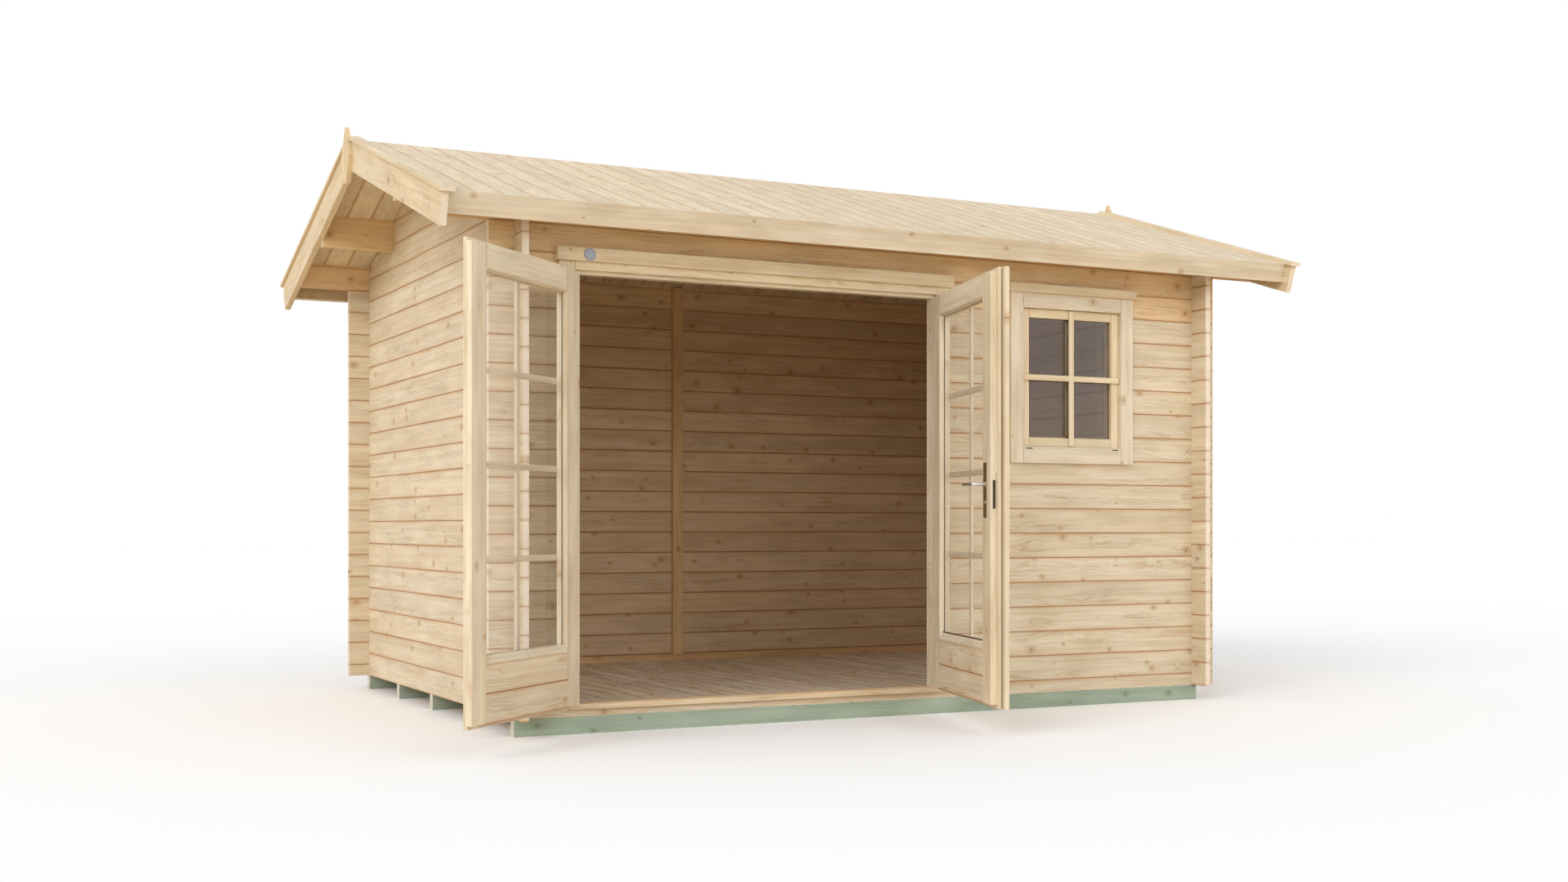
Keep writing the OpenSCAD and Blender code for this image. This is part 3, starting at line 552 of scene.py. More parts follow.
    # knots: brown heart with a soft edge and a faint halo
    core_low = add(tree, "Math", {0: size}, {1: 0.35}, operation="MULTIPLY")
    core = add(tree, "MapRange", {0: knot_far, 1: core_low, 2: size}, {3: 0.6, 4: 0.0},
               **SMOOTH)
    halo_far = add(tree, "Math", {0: size}, {1: 2.0}, operation="MULTIPLY")
    halo = add(tree, "MapRange", {0: smear, 1: core_low, 2: halo_far}, {3: 0.44, 4: 0.0},
               **SMOOTH)
    is_knot = add(tree, "Math", {0: size}, {1: 0.002}, operation="GREATER_THAN")
    halo = add(tree, "Math", {0: halo, 1: is_knot}, operation="MULTIPLY")
    core = add(tree, "Math", {0: core, 1: is_knot}, operation="MULTIPLY")
    colour = add(tree, "Mix", {0: halo, 6: colour}, {7: linear(stain)}, **RGBA)
    colour = add(tree, "Mix", {0: core, 6: colour}, {7: linear(knot)}, **RGBA)
    height = add(tree, "Math", {0: late, 1: fibre}, operation="ADD")
    lines = []
    if joint:
        near = add(tree, "Math", {0: inside}, operation="ABSOLUTE")
        near = add(tree, "Math", {1: near}, {0: 0.5}, operation="SUBTRACT")
        near = add(tree, "Math", {0: near}, {1: pitch}, operation="MULTIPLY")
        lines.append((near, joint))
    for edge in sorted({round(e, 6) for span in seams for e in span}):
        near = add(tree, "Math", {0: level_x}, {1: edge}, operation="SUBTRACT")
        near = add(tree, "Math", {0: near}, operation="ABSOLUTE")
        lines.append((near, SEAM))
    for near, width in lines:
        colour, line = joint_line_and_shade(tree, colour, near, width, streak, gap, soak)
    if sawn:
        saw_at = add(tree, "VectorMath", {0: where}, {1: (160.0, 25.0, 25.0)},
                     operation="MULTIPLY")
        saw = add(tree, "TexNoise", {0: saw_at}, {"Scale": 1.0, "Detail": 2.0})
        height = add(tree, "Math", {0: saw, 2: height}, {1: sawn},
                     operation="MULTIPLY_ADD")
    if room:
        # painted shade: inside the room the wood is tinted darker and redder
        indoor_shade = add(tree, "Mix", {6: colour}, {0: 1.0, 7: INDOOR_SHADE_TINT}, **TINTED)
        if joint:
            # no light falls into the joints indoors, so they look darker there
            indoor_shade = add(tree, "Mix", {0: line, 6: indoor_shade}, {7: linear("#cdc4bf")},
                         **TINTED)
        colour = add(tree, "Mix", {0: indoors, 6: colour, 7: indoor_shade}, **RGBA)
    bump = add(tree, "Bump", {"Height": height}, {"Strength": 0.15, "Distance": 0.0006})
    sheen = add(tree, "MapRange", {0: fibre},
                {1: 0.3, 2: 0.7, 3: rough - 0.06, 4: rough + 0.08})
    shader = add(tree, "BsdfPrincipled", {"Base Color": colour, "Roughness": sheen,
                                          "Normal": bump},
                 {"IOR": 1.48, "Specular IOR Level": 0.28})
    close(tree, shader)
    return material


def brushed_steel(name, colour, rough, along=(4.0, 4.0, 900.0)):
    """Rolled or brushed steel: fine parallel scratches that spread the gloss."""
    material, tree = blank(name)
    where = add(tree, "TexCoord", out=3)
    at = add(tree, "VectorMath", {0: where}, {1: along}, operation="MULTIPLY")
    grit = add(tree, "TexNoise", {0: at}, {"Scale": 1.0, "Detail": 3.0})
    blotch = add(tree, "TexNoise", {0: where}, {"Scale": 140.0, "Detail": 2.0})
    shine = add(tree, "MapRange", {0: grit},
                {1: 0.3, 2: 0.7, 3: rough - 0.07, 4: rough + 0.09})
    shade = add(tree, "MapRange", {0: blotch}, {1: 0.3, 2: 0.7, 3: 0.0, 4: 1.0})
    dull = tuple(c * 0.82 for c in linear(colour)[:3]) + (1.0,)
    tint = add(tree, "Mix", {0: shade}, {6: linear(colour), 7: dull}, **RGBA)
    bump = add(tree, "Bump", {"Height": grit}, {"Strength": 0.15, "Distance": 0.0003})
    shader = add(tree, "BsdfPrincipled", {"Base Color": tint, "Roughness": shine,
                                          "Normal": bump}, {"Metallic": 1.0})
    close(tree, shader)
    return material


def float_glass(name, body, tint):
    """Clear float glass: light passes straight, with the gloss of a polished face and a
    faint unevenness; the pane is thin, so it doesn't bend what is behind it."""
    material, tree = blank(name)
    where = add(tree, "TexCoord", out=3)
    wave = add(tree, "TexNoise", {0: where}, {"Scale": 2.5, "Detail": 0.0})
    bump = add(tree, "Bump", {"Height": wave}, {"Strength": 0.03, "Distance": 0.002})
    blocked = add(tree, "LightPath", out="Is Shadow Ray")
    cover = add(tree, "MapRange", {0: blocked}, {3: body, 4: 0.35})
    gloss = add(tree, "BsdfPrincipled", {"Normal": bump, "Alpha": cover},
                {"Base Color": linear(tint), "Roughness": 0.02, "IOR": 1.5,
                 "Transmission Weight": 1.0})
    close(tree, gloss)
    return material


def shade_strip_finish(name):
    """Dark brown of a strip of painted shade: dull with a faint grey bloom."""
    material, tree = blank(name)
    where = add(tree, "TexCoord", out=3)
    mottle = add(tree, "TexNoise", {0: where}, {"Scale": 300.0, "Detail": 2.0})
    tint = add(tree, "Mix", {0: mottle}, {6: linear("#4a3827"), 7: linear("#6b5137")},
               **RGBA)
    shader = add(tree, "BsdfPrincipled", {"Base Color": tint},
                 {"Roughness": 0.7, "IOR": 1.5})
    close(tree, shader)
    return material


FINISHES = {}


def finish(name):
    """The named finish, made once."""
    if name not in FINISHES:
        maker, *values = FITTINGS.get(name, (timber,))
        FINISHES[name] = maker(name, *values, **TIMBERS.get(name, {}))
    return FINISHES[name]


def room_box():
    """Range of the room on each axis, up past the roof, with a bit of its walls."""
    inset = 0.012
    x = box("left_wall")[1, 0] - inset, box("right_wall")[0, 0] + inset
    y = box("front_wall_left")[1, 1] - inset, box("back_wall")[0, 1] + inset
    return x, y, (box("floor_boards")[0, 2], 9.0)


def roof_slant():
    """Place of the ridge across the house, and the tangent of the roof's slope."""
    near, far = slab_line("roof_front", -1.0)
    return near[1], (near[2] - far[2]) / (near[1] - far[1])


def turned(leaf, spans):
    """Ranges along a leaf as ranges on the first axis of its turned timber."""
    base = leaf.pin[0] * math.cos(leaf.turn) + leaf.pin[1] * math.sin(leaf.turn)
    return [tuple(sorted((base + leaf.sign * a, base + leaf.sign * b))) for a, b in spans]


def leaf_span(side, lap=0.0):
    """Ranges along a leaf where its stiles stand, up to the glass or past its edge."""
    leaf = LEAVES[side]
    glass_low, glass_high = leaf.room(side + "_leaf_glass")
    frame_low, frame_high = leaf.room(side + "_leaf_frame")
    return turned(leaf, [(frame_low[0] - 0.05, glass_low[0] - 0.001 + lap),
                         (glass_high[0] + 0.001 - lap, frame_high[0] + 0.05)])


def bar_span(side):
    """Ranges along a leaf where its upright bar and its upright beads stand."""
    leaf = LEAVES[side]
    low, high = leaf.room(side + "_leaf_glass")
    mid = (low[0] + high[0]) / 2
    return turned(leaf, [(low[0] - 0.01, low[0] + 0.013), (mid - 0.012, mid + 0.012),
                         (high[0] - 0.013, high[0] + 0.01)])


def side_spans(node, width, out=0.01):
    """Ranges along the wall of a node's uprights: that wide, and a bit past its ends."""
    low, high = box(node)[:, 0]
    return [(low - out, low + width), (high - width, high + out)]


def middle_span(node, width):
    """Range that wide along the wall, in the middle of a node."""
    middle = box(node)[:, 0].mean()
    return [(middle - width / 2, middle + width / 2)]


# Pale and dark wood of what is near the door, near the window and in the sash
DOOR_TRIM = {"light": "#e4d7bc", "dark": "#c9a97a"}
WINDOW_TRIM = {"light": "#dfd7c5", "dark": "#c9b08a"}
SASH_WOOD = {"light": "#e2d5b9", "dark": "#cdb083"}
TIMBERS = {
    # planed spruce logs, 112 mm pitch: the side walls start with a whole log
    "planed_spruce_side_logs": dict(grain="y", start=FLOOR_OF_LOGS, joint=0.0044,
        knots=0.38, rings=0.3, room=room_box()),
    # planed spruce logs: the front and back walls start with half a log
    "planed_spruce_cross_logs": dict(start=FLOOR_OF_LOGS + LOG_PITCH / 2, joint=0.0044,
        knots=0.6, light="#ddd4bf", dark="#c4a881", room=room_box()),
    # the same logs under the eaves, in a warmer, brighter copy: painted warm bounced light
    # in the shade of the roof
    "planed_spruce_eaves_logs": dict(start=FLOOR_OF_LOGS + LOG_PITCH / 2, joint=0.0044,
        light="#eed6b0", dark="#d5ab78"),
    # planed spruce roof boards that run up the slope
    "planed_spruce_roof_boards": dict(grain="y", pitch=ROOF_COVER, lying=True, side=0.0,
        side_start=0.5, start=box("roof_front")[0, 0], joint=0.0048, light="#dfd3bb",
        dark="#c8ab81", gap="#a87b4c", rings=0.3, knots=0.25, soak=0.9, tone=0.075),
    # planed spruce of the barge boards and the cap strips
    "planed_spruce_roof_trim": dict(grain="y", pitch=0.6, start=2.12, side=1.7,
        slant=roof_slant(), light="#ded1b6", dark="#c6a678"),
    # planed spruce fascia boards, which run along the house
    "planed_spruce_long_trim": dict(pitch=0.5, start=-0.1, side=1.7, light="#dbd1bd",
        dark="#c3a780"),
    # planed spruce purlins, in a warmer copy of the trim: painted warm bounced light in
    # the shade under the roof
    "planed_spruce_purlins": dict(pitch=0.5, start=-0.1, side=1.7, light="#e6cda4",
        dark="#cda26a", room=room_box()),
    # planed spruce floor boards that run from the door to the back, greyer
    "planed_spruce_floor": dict(grain="y", pitch=FLOOR_COVER, lying=True, side=0.0,
        start=box("floor_boards")[0, 0], joint=0.0036, light="#fdf6e8", dark="#c4a87f",
        gap="#74512f", soak=1.0, rings=1.0, knots=0.5, tone=0.13),
    # planed spruce skirting strips and the batten
    "planed_spruce_inner_trim": dict(pitch=1.0, start=-0.3, light="#e0c9a2",
        dark="#c9a273", end=False, room=room_box()),
    "planed_spruce_batten": dict(grain="z", pitch=1.0, start=-0.5, light="#e2cfab",
        dark="#cba878", room=room_box()),
    # planed spruce round the door
    "planed_spruce_door_frame": dict(uprights=side_spans("door_frame", 0.0405, 0.06),
        pitch=0.9, start=-0.37),
    "planed_spruce_door_casing": dict(uprights=side_spans("door_casings", 0.0663),
        pitch=0.9, start=-0.37, **DOOR_TRIM),
    "planed_spruce_drip_boards": dict(pitch=0.9, start=-0.2, **DOOR_TRIM),
    # planed spruce threshold, with a brown line under its top edge and at its foot
    "planed_spruce_threshold": dict(pitch=0.0215, start=box("threshold")[0, 2],
        joint=0.0028, gap="#a5633f", tone=0.01, knots=0.1, **DOOR_TRIM),
    # planed spruce round the window
    "planed_spruce_window_casing": dict(uprights=side_spans("window_casings", 0.0692),
        pitch=0.37, start=0.05, **WINDOW_TRIM),
    "planed_spruce_window_frame": dict(uprights=side_spans("window_frame", 0.024),
        pitch=0.37, start=0.05, **WINDOW_TRIM),
    # sanded spruce joinery of the sash
    "sanded_spruce_sash": dict(uprights=side_spans("window_sash", 0.056),
        seams=side_spans("window_sash", 0.056), pitch=0.29, start=0.11, knots=0.2,
        rings=0.32, **SASH_WOOD),
    "sanded_spruce_window_bars": dict(uprights=middle_span("window_glass", 0.0262),
        pitch=0.3, start=0.0, knots=0.15, rings=0.3, end=False, **SASH_WOOD),
    # sawn pine, pressure treated: grey green with darker grain
    "treated_pine_beams": dict(pitch=0.6, start=-0.2, side=1.9, light="#a3b4a5",
        dark="#899c8d", knot="#46543f", gap="#7d8a6e", sawn=0.5, tone=0.02, rings=0.35,
        knots=0.85, rough=0.8, stain="#71836a"),
}
# sanded spruce joinery of the door leaves: level boards below the glass, and stiles whose
# upright grain reaches the edge of what is seen of the pane
for side, light, dark in (("left", "#e2d9c4", "#cbb088"), ("right", "#dfd5bf", "#c9ad84")):
    TIMBERS["sanded_spruce_%s_leaf" % side] = dict(turn=LEAVES[side].turn,
        uprights=leaf_span(side, 0.0145), seams=leaf_span(side), pitch=0.36, start=0.04,
        light=light, dark=dark, knots=0.4, rings=0.36)
    TIMBERS["sanded_spruce_%s_panel" % side] = dict(turn=LEAVES[side].turn, pitch=0.106,
        start=FLOOR_OF_LOGS + 0.057, rings=0.45, joint=0.0045, soak=0.9)
    TIMBERS["sanded_spruce_%s_bars" % side] = dict(turn=LEAVES[side].turn,
        uprights=bar_span(side), pitch=0.34, start=0.0, knots=0.15, rings=0.3, end=False)

FITTINGS = {
    # zinc plated steel of the hinges
    "zinc_plated_steel": (brushed_steel, "#b9b8b2", 0.42),
    # brushed stainless steel of the lock plates: its warm tint is a painted reflection of
    # the timber round it
    "brushed_stainless_steel": (brushed_steel, "#c2b294", 0.24, (600.0, 600.0, 6.0)),
    # dark steel of the lock's face
    "blackened_steel": (brushed_steel, "#4a4038", 0.45),
    # satin nickel of the levers, which catches light from all round
    "satin_nickel": (brushed_steel, "#d6d5d1", 0.42, (90.0, 90.0, 90.0)),
    # satin aluminium of the round plate
    "satin_aluminium": (brushed_steel, "#989ca1", 0.5),
    # float glass of the door, nearly clear
    "clear_float_glass": (float_glass, 0.08, "#f4f7f6"),
    # coated float glass of the window, which hides the dark room
    "coated_float_glass": (float_glass, 0.6, "#b6b1aa"),
    # dark brown of the strips of painted shade
    "brown_rubber_seal": (shade_strip_finish,),
}


def dress(name, *nodes):
    """Gives CAD nodes a finish."""
    for node in nodes:
        mesh = frame["nodes"][node].data
        mesh.materials.clear()
        mesh.materials.append(finish(name))


# ---- settings ----

def length(name, default, low, high, about):
    """A length that the panel shows."""
    return FloatProperty(name=name, default=default, min=low, max=high, unit="LENGTH",
                         description=about)


class GardenHouseSizes(bpy.types.PropertyGroup):
    """Sizes of the boards, bars, beads and small fittings."""
    roof_cover: length("Roof board cover", ROOF_COVER, 0.08, 0.15,
                       "Width that a roof board covers")
    roof_chamfer: length("Roof board chamfer", 0.0012, 0.0005, 0.003,
                         "Chamfer on the top edges of a roof board")
    roof_groove: length("Roof board groove", 0.0035, 0.001, 0.005,
                        "Chamfer under a roof board's joints")
    floor_cover: length("Floor board cover", FLOOR_COVER, 0.07, 0.14,
                        "Width that a floor board covers")
    door_bar: length("Door bar width", 0.024, 0.016, 0.04, "Width of the door's bars")
    door_bar_rows: IntProperty(name="Door pane rows", default=4, min=1, max=6,
                               description="Rows of panes in a door leaf")
    window_bar: length("Window bar width", 0.026, 0.018, 0.04,
                       "Width of the window's bars")
    bar_thickness: length("Bar thickness", 0.013, 0.006, 0.02,
                          "How far a door bar stands out")
    bead: length("Glazing bead", 0.013, 0.008, 0.02, "Width of the glazing beads")
    pane_play: length("Play of a pane", 0.0028, 0.0, 0.006,
                      "Gap round a pane that its beads cover")
    lever_reach: length("Lever reach", 0.058, 0.045, 0.065,
                        "How far a lever stands off its plate")
    screw_head: length("Screw head", 0.0042, 0.002, 0.008, "Radius of a screw head")


class GardenHouseColours(bpy.types.PropertyGroup):
    """Colours of the stage."""
    ground: FloatVectorProperty(name="Ground", subtype="COLOR", size=4, min=0, max=1,
                                default=linear("#ecd6b6"),
                                description="Colour of the plain floor")
    sky: FloatVectorProperty(name="Sky", subtype="COLOR", size=4, min=0, max=1,
                             default=linear("#ffffff"),
                             description="Colour of the light from all round")


# ---- operators ----

class GARDENHOUSE_OT_base(bpy.types.Operator):
    """Finishes the foundation beams"""
    bl_idname = "garden_house.base"
    bl_label = "Foundation beams"

    def execute(self, context):
        dress("treated_pine_beams", "foundation_beams")
        return {"FINISHED"}


class GARDENHOUSE_OT_walls(bpy.types.Operator):
    """Finishes the log walls, the sill log and the eaves logs"""
    bl_idname = "garden_house.walls"
    bl_label = "Log walls"

    def execute(self, context):
        dress("planed_spruce_side_logs", "left_wall", "right_wall")
        dress("planed_spruce_cross_logs", "back_wall", "front_wall_left",
              "front_wall_right", "sill_log")
        dress("planed_spruce_eaves_logs", "front_wall_top", "eaves_logs")
        return {"FINISHED"}


def board_row(ends, cover, top, groove, thickness):
    """Outline across a row of tongued boards: the top has small chamfers at each joint,
    the underside wider ones. It fills the range between both ends, and zero is at the
    underside."""
    low, high = ends
    edges = np.arange(low, high, cover)
    # no board is narrower than about a seventh
    left = edges[edges < high - cover * 0.15]
    right = np.append(left[1:], high)
    rows = []
    for level, cut, fall in ((thickness, top, -top), (0.0, groove, groove)):
        row = [(left, level + fall), (left + cut, level), (right - cut, level),
               (right, level + fall)]
        rows.append(np.stack([np.stack([x, np.full_like(x, height)], 1)
                              for x, height in row], axis=1).reshape(-1, 2))
    outline = np.concatenate([rows[0], rows[1][::-1]])
    keep = np.linalg.norm(outline - np.roll(outline, 1, axis=0), axis=1) > 1e-6
    return outline[keep]


class GARDENHOUSE_OT_roof(bpy.types.Operator):
    """Lays the roof boards and finishes the timber that carries and edges them"""
    bl_idname = "garden_house.roof"
    bl_label = "Roof"

    def execute(self, context):
        sizes = context.scene.garden_house_sizes
        for node, sign in (("roof_front", -1.0), ("roof_back", 1.0)):
            near, far = slab_line(node, sign)
            slope = math.atan2(near[2] - far[2], abs(far[1] - near[1]))
            down = np.array([0.0, sign * math.cos(slope), -math.sin(slope)])
            up = np.array([0.0, sign * math.sin(slope), math.cos(slope)])
            depth = ((near - corners_of(node)) @ up).max()
            start = np.array([0.0, near[1], near[2]]) - up * depth
            outline = board_row(box(node)[:, 0], sizes.roof_cover, sizes.roof_chamfer,
                                sizes.roof_groove, depth)
            outline[:, 0] *= np.sign(np.cross(up, down)[0])
            path = [start, start + down * ((far - near) @ down)]
            # plumb end at the ridge: the top starts further up than the underside
            plumb = math.tan(slope)
            made = sweep(outline, path, up, skew=(-plumb, 0.0))
            made[0][0] += down * depth * plumb
            piece("boards_" + node, [made], "house",
                  finish("planed_spruce_roof_boards"), replaces=(node,))
        dress("planed_spruce_roof_trim", "barge_boards_left", "barge_boards_right",
              "cap_strips")
        dress("planed_spruce_batten", "apex_boards")
        dress("planed_spruce_purlins", "purlins")
        dress("planed_spruce_long_trim", "fascia_front", "fascia_back")
        return {"FINISHED"}


class GARDENHOUSE_OT_floor(bpy.types.Operator):
    """Lays the floor boards and finishes the skirting and the batten"""
    bl_idname = "garden_house.floor"
    bl_label = "Floor"

    def execute(self, context):
        sizes = context.scene.garden_house_sizes
        low, high = box("floor_boards")
        outline = board_row((low[0], high[0]), sizes.floor_cover, 0.0008, 0.002,
                            high[2] - low[2])
        outline[:, 0] *= -1
        made = sweep(outline, [(0.0, high[1], low[2]), (0.0, low[1], low[2])], (0, 0, 1))
        piece("floor_planks", [made], "house",
              finish("planed_spruce_floor"), replaces=("floor_boards",))
        dress("planed_spruce_inner_trim", "skirting")
        dress("planed_spruce_batten", "wall_batten")
        return {"FINISHED"}


class GARDENHOUSE_OT_doorway(bpy.types.Operator):
    """Finishes the door's frame, threshold, casings and drip boards"""
    bl_idname = "garden_house.doorway"
    bl_label = "Doorway"

    def execute(self, context):
        dress("planed_spruce_door_frame", "door_frame")
        dress("planed_spruce_threshold", "threshold")
        dress("planed_spruce_door_casing", "door_casings")
        dress("planed_spruce_drip_boards", "drip_boards")
        return {"FINISHED"}


class GARDENHOUSE_OT_window(bpy.types.Operator):
    """Fits the window's bars and beads"""
    bl_idname = "garden_house.window"
    bl_label = "Window"

    def execute(self, context):
        sizes = context.scene.garden_house_sizes
        dress("planed_spruce_window_frame", "window_frame")
        dress("sanded_spruce_sash", "window_sash")
        dress("planed_spruce_window_casing", "window_casings")
        dress("coated_float_glass", "window_glass")
        glass, sash = box("window_glass"), box("window_sash")
        mid_z = glass[:, 2].mean()
        # the outer bars end on the sash, 18 mm from its edges
        rim = 0.018
        outline = eased(sizes.window_bar, 0.010, 0.002)
        outer = bars(outline, (sash[0, 0] + rim, sash[1, 0] - rim), sash[0, 1],
                     (sash[0, 2] + rim, sash[1, 2] - rim), [mid_z], -1, 1.12)
        piece("window_bars", outer, "house",
              finish("sanded_spruce_window_bars"), smooth=True)
        # inner bars and beads rest on the pane, in the room
        back = glass[1, 1]
        outline = eased(sizes.window_bar * 0.8, 0.012, 0.003)
        inner = bars(outline, glass[:, 0], back, glass[:, 2], [mid_z], 1, 0.95,
                     sunk=-0.0003)
        bead = np.array([(0, 0), (-0.016, 0), (-0.016, 0.006), (-0.011, 0.012),
                         (0, 0.012)])
        ring = sweep(bead, round_pane(glass[:, 0], back, glass[:, 2]), (0, 1, 0),
                     closed=True)
        piece("window_inner_beads", inner + [ring], "house",
              finish("sanded_spruce_window_bars"), smooth=True)
        return {"FINISHED"}


class GARDENHOUSE_OT_leaves(bpy.types.Operator):
    """Fits the bars, beads, dark strips of painted shade and weather rails of the two door
    leaves
    """
    bl_idname = "garden_house.leaves"
    bl_label = "Door leaves"

    def execute(self, context):
        sizes = context.scene.garden_house_sizes
        for side, leaf in LEAVES.items():
            dress("sanded_spruce_%s_leaf" % side, side + "_leaf_frame")
            dress("sanded_spruce_%s_panel" % side, side + "_leaf_panel")
            dress("clear_float_glass", side + "_leaf_glass")
            wood = finish("sanded_spruce_%s_bars" % side)
            low, high = leaf.room(side + "_leaf_glass")
            frame_low, frame_high = leaf.room(side + "_leaf_frame")
            lip, back = frame_low[1], high[1] + HAIR
            u0, u1, z0, z1 = low[0], high[0], low[2], high[2]
            # the bars lie on the leaf's outer face and lap onto its frame
            rungs = np.linspace(z0 + 0.027, z1 - sizes.bead,
                                sizes.door_bar_rows + 1)[1:-1]
            outline = eased(sizes.door_bar, sizes.bar_thickness, 0.003)
            made = bars(outline, (u0, u1), lip, (z0, z1), rungs, -1, 0.97)
            piece(side + "_leaf_bars", on_leaf(leaf, made), leaf.body,
                  wood, smooth=True)
            # beads on the room side: narrow all round, and a wide sloping one below
            reach = frame_high[1] - back
            narrow = np.array([(0, 0), (-sizes.bead, 0), (-sizes.bead, reach * 0.45),
                               (-sizes.bead * 0.45, reach), (0, reach)])
            play = sizes.pane_play
            ring = sweep(narrow, round_pane((u0 - play, u1 + play), back,
                                            (z0 - play, z1 + play)),
                         (0, 1, 0), closed=True)
            lower = np.array([(0, 0), (-0.030, 0), (-0.030, reach * 0.3),
                              (-0.006, reach + 0.003), (0, reach + 0.003)])
            rail = sweep(lower, [(u0 + 0.001, back, z0), (u1 - 0.001, back, z0)],
                         (0, 1, 0))
            piece(side + "_leaf_beads", on_leaf(leaf, [ring, rail]), leaf.body,
                  wood)
            # dark brown strips of painted shade along the pane's foot, and in the corner
            # where the leaves meet
            if side == "right":
                strip = board((u0 + 0.014, back, z0 + 0.030),
                              (u1 - 0.014, back + 0.006, z0 + 0.036), 0.001)
                lap_low, lap_high = leaf.room("astragal")
                edge = frame_high[0]
                bead = board((edge - 0.001, lap_high[1] - 0.001, lap_low[2] + 0.004),
                             (edge + 0.0022, lap_high[1] + 0.0018, lap_high[2] - 0.004),
                             0.0004)
                piece("right_leaf_seals", on_leaf(leaf, [strip, bead]), leaf.body,
                      finish("brown_rubber_seal"))
            # weather rail outside, below the glass
            drip = np.array([(0, 0), (0.034, 0), (0.034, 0.004), (0.008, 0.020),
                             (0, 0.020)])
            face, foot = lip + 0.001, z0 - 0.004
            rail = sweep(drip, [(u0, face, foot), (u1, face, foot)], (0, -1, 0))
            piece(side + "_leaf_weather_rail", on_leaf(leaf, [rail]), leaf.body,
                  wood)
        dress("sanded_spruce_right_leaf", "astragal")
        return {"FINISHED"}


def heights(points):
    """The different heights of points, from the lowest up, to a tenth of a millimetre."""
    return np.unique(np.round(points[:, 2], 4))


class GARDENHOUSE_OT_hinges(bpy.types.Operator):
    """Finishes the hinges and sets their pin heads and screws"""
    bl_idname = "garden_house.hinges"
    bl_label = "Hinges"

    def execute(self, context):
        sizes = context.scene.garden_house_sizes
        r = sizes.screw_head
        steel = finish("zinc_plated_steel")
        dress("zinc_plated_steel", "hinge_pins", "left_hinges", "right_hinges")
        head = [(0, 0), (r, 0), (r, r * 0.25), (r * 0.6, r * 0.45), (0, r * 0.5)]
        for side, leaf in LEAVES.items():
            levels = heights(corners_of(side + "_hinges"))
            # each hinge starts at a level that is well above the one before
            feet = [z for z, under in zip(levels, [-1.0, *levels]) if z - under > 0.1]
            edge, face = leaf.room(side + "_hinges")[1][:2]
            screws = []
            for z in feet:
                for u in (edge - 0.009, edge - 0.026):
                    at = leaf.place((u, face - 0.003, z + 0.0125))
                    out = leaf.place((u, face - 0.013, z + 0.0125)) - at
                    screws.append(revolve(head, at, out, 14))
            piece(side + "_hinge_screws", screws, leaf.body, steel,
                  smooth=True)
        cap = [(0, 0), (0.0066, 0), (0.0066, 0.0008), (0.0045, 0.0022), (0, 0.0026)]
        points = corners_of("hinge_pins")
        caps = []
        for leaf in LEAVES.values():
            near = points[np.linalg.norm(points[:, :2] - leaf.pin[:2], axis=1) < 0.0072]
            levels = heights(near)
            # a pin's top has nothing just above it and the rest of its pin below
            tops = [z for z in levels if not ((levels > z) & (levels < z + 0.03)).any()
                    and ((levels < z) & (levels > z - 0.09)).sum() >= 2]
            caps += [revolve(cap, (*leaf.pin[:2], z), (0, 0, 1), 18) for z in tops]
        piece("hinge_pin_caps", caps, "house", steel, smooth=True)
        return {"FINISHED"}


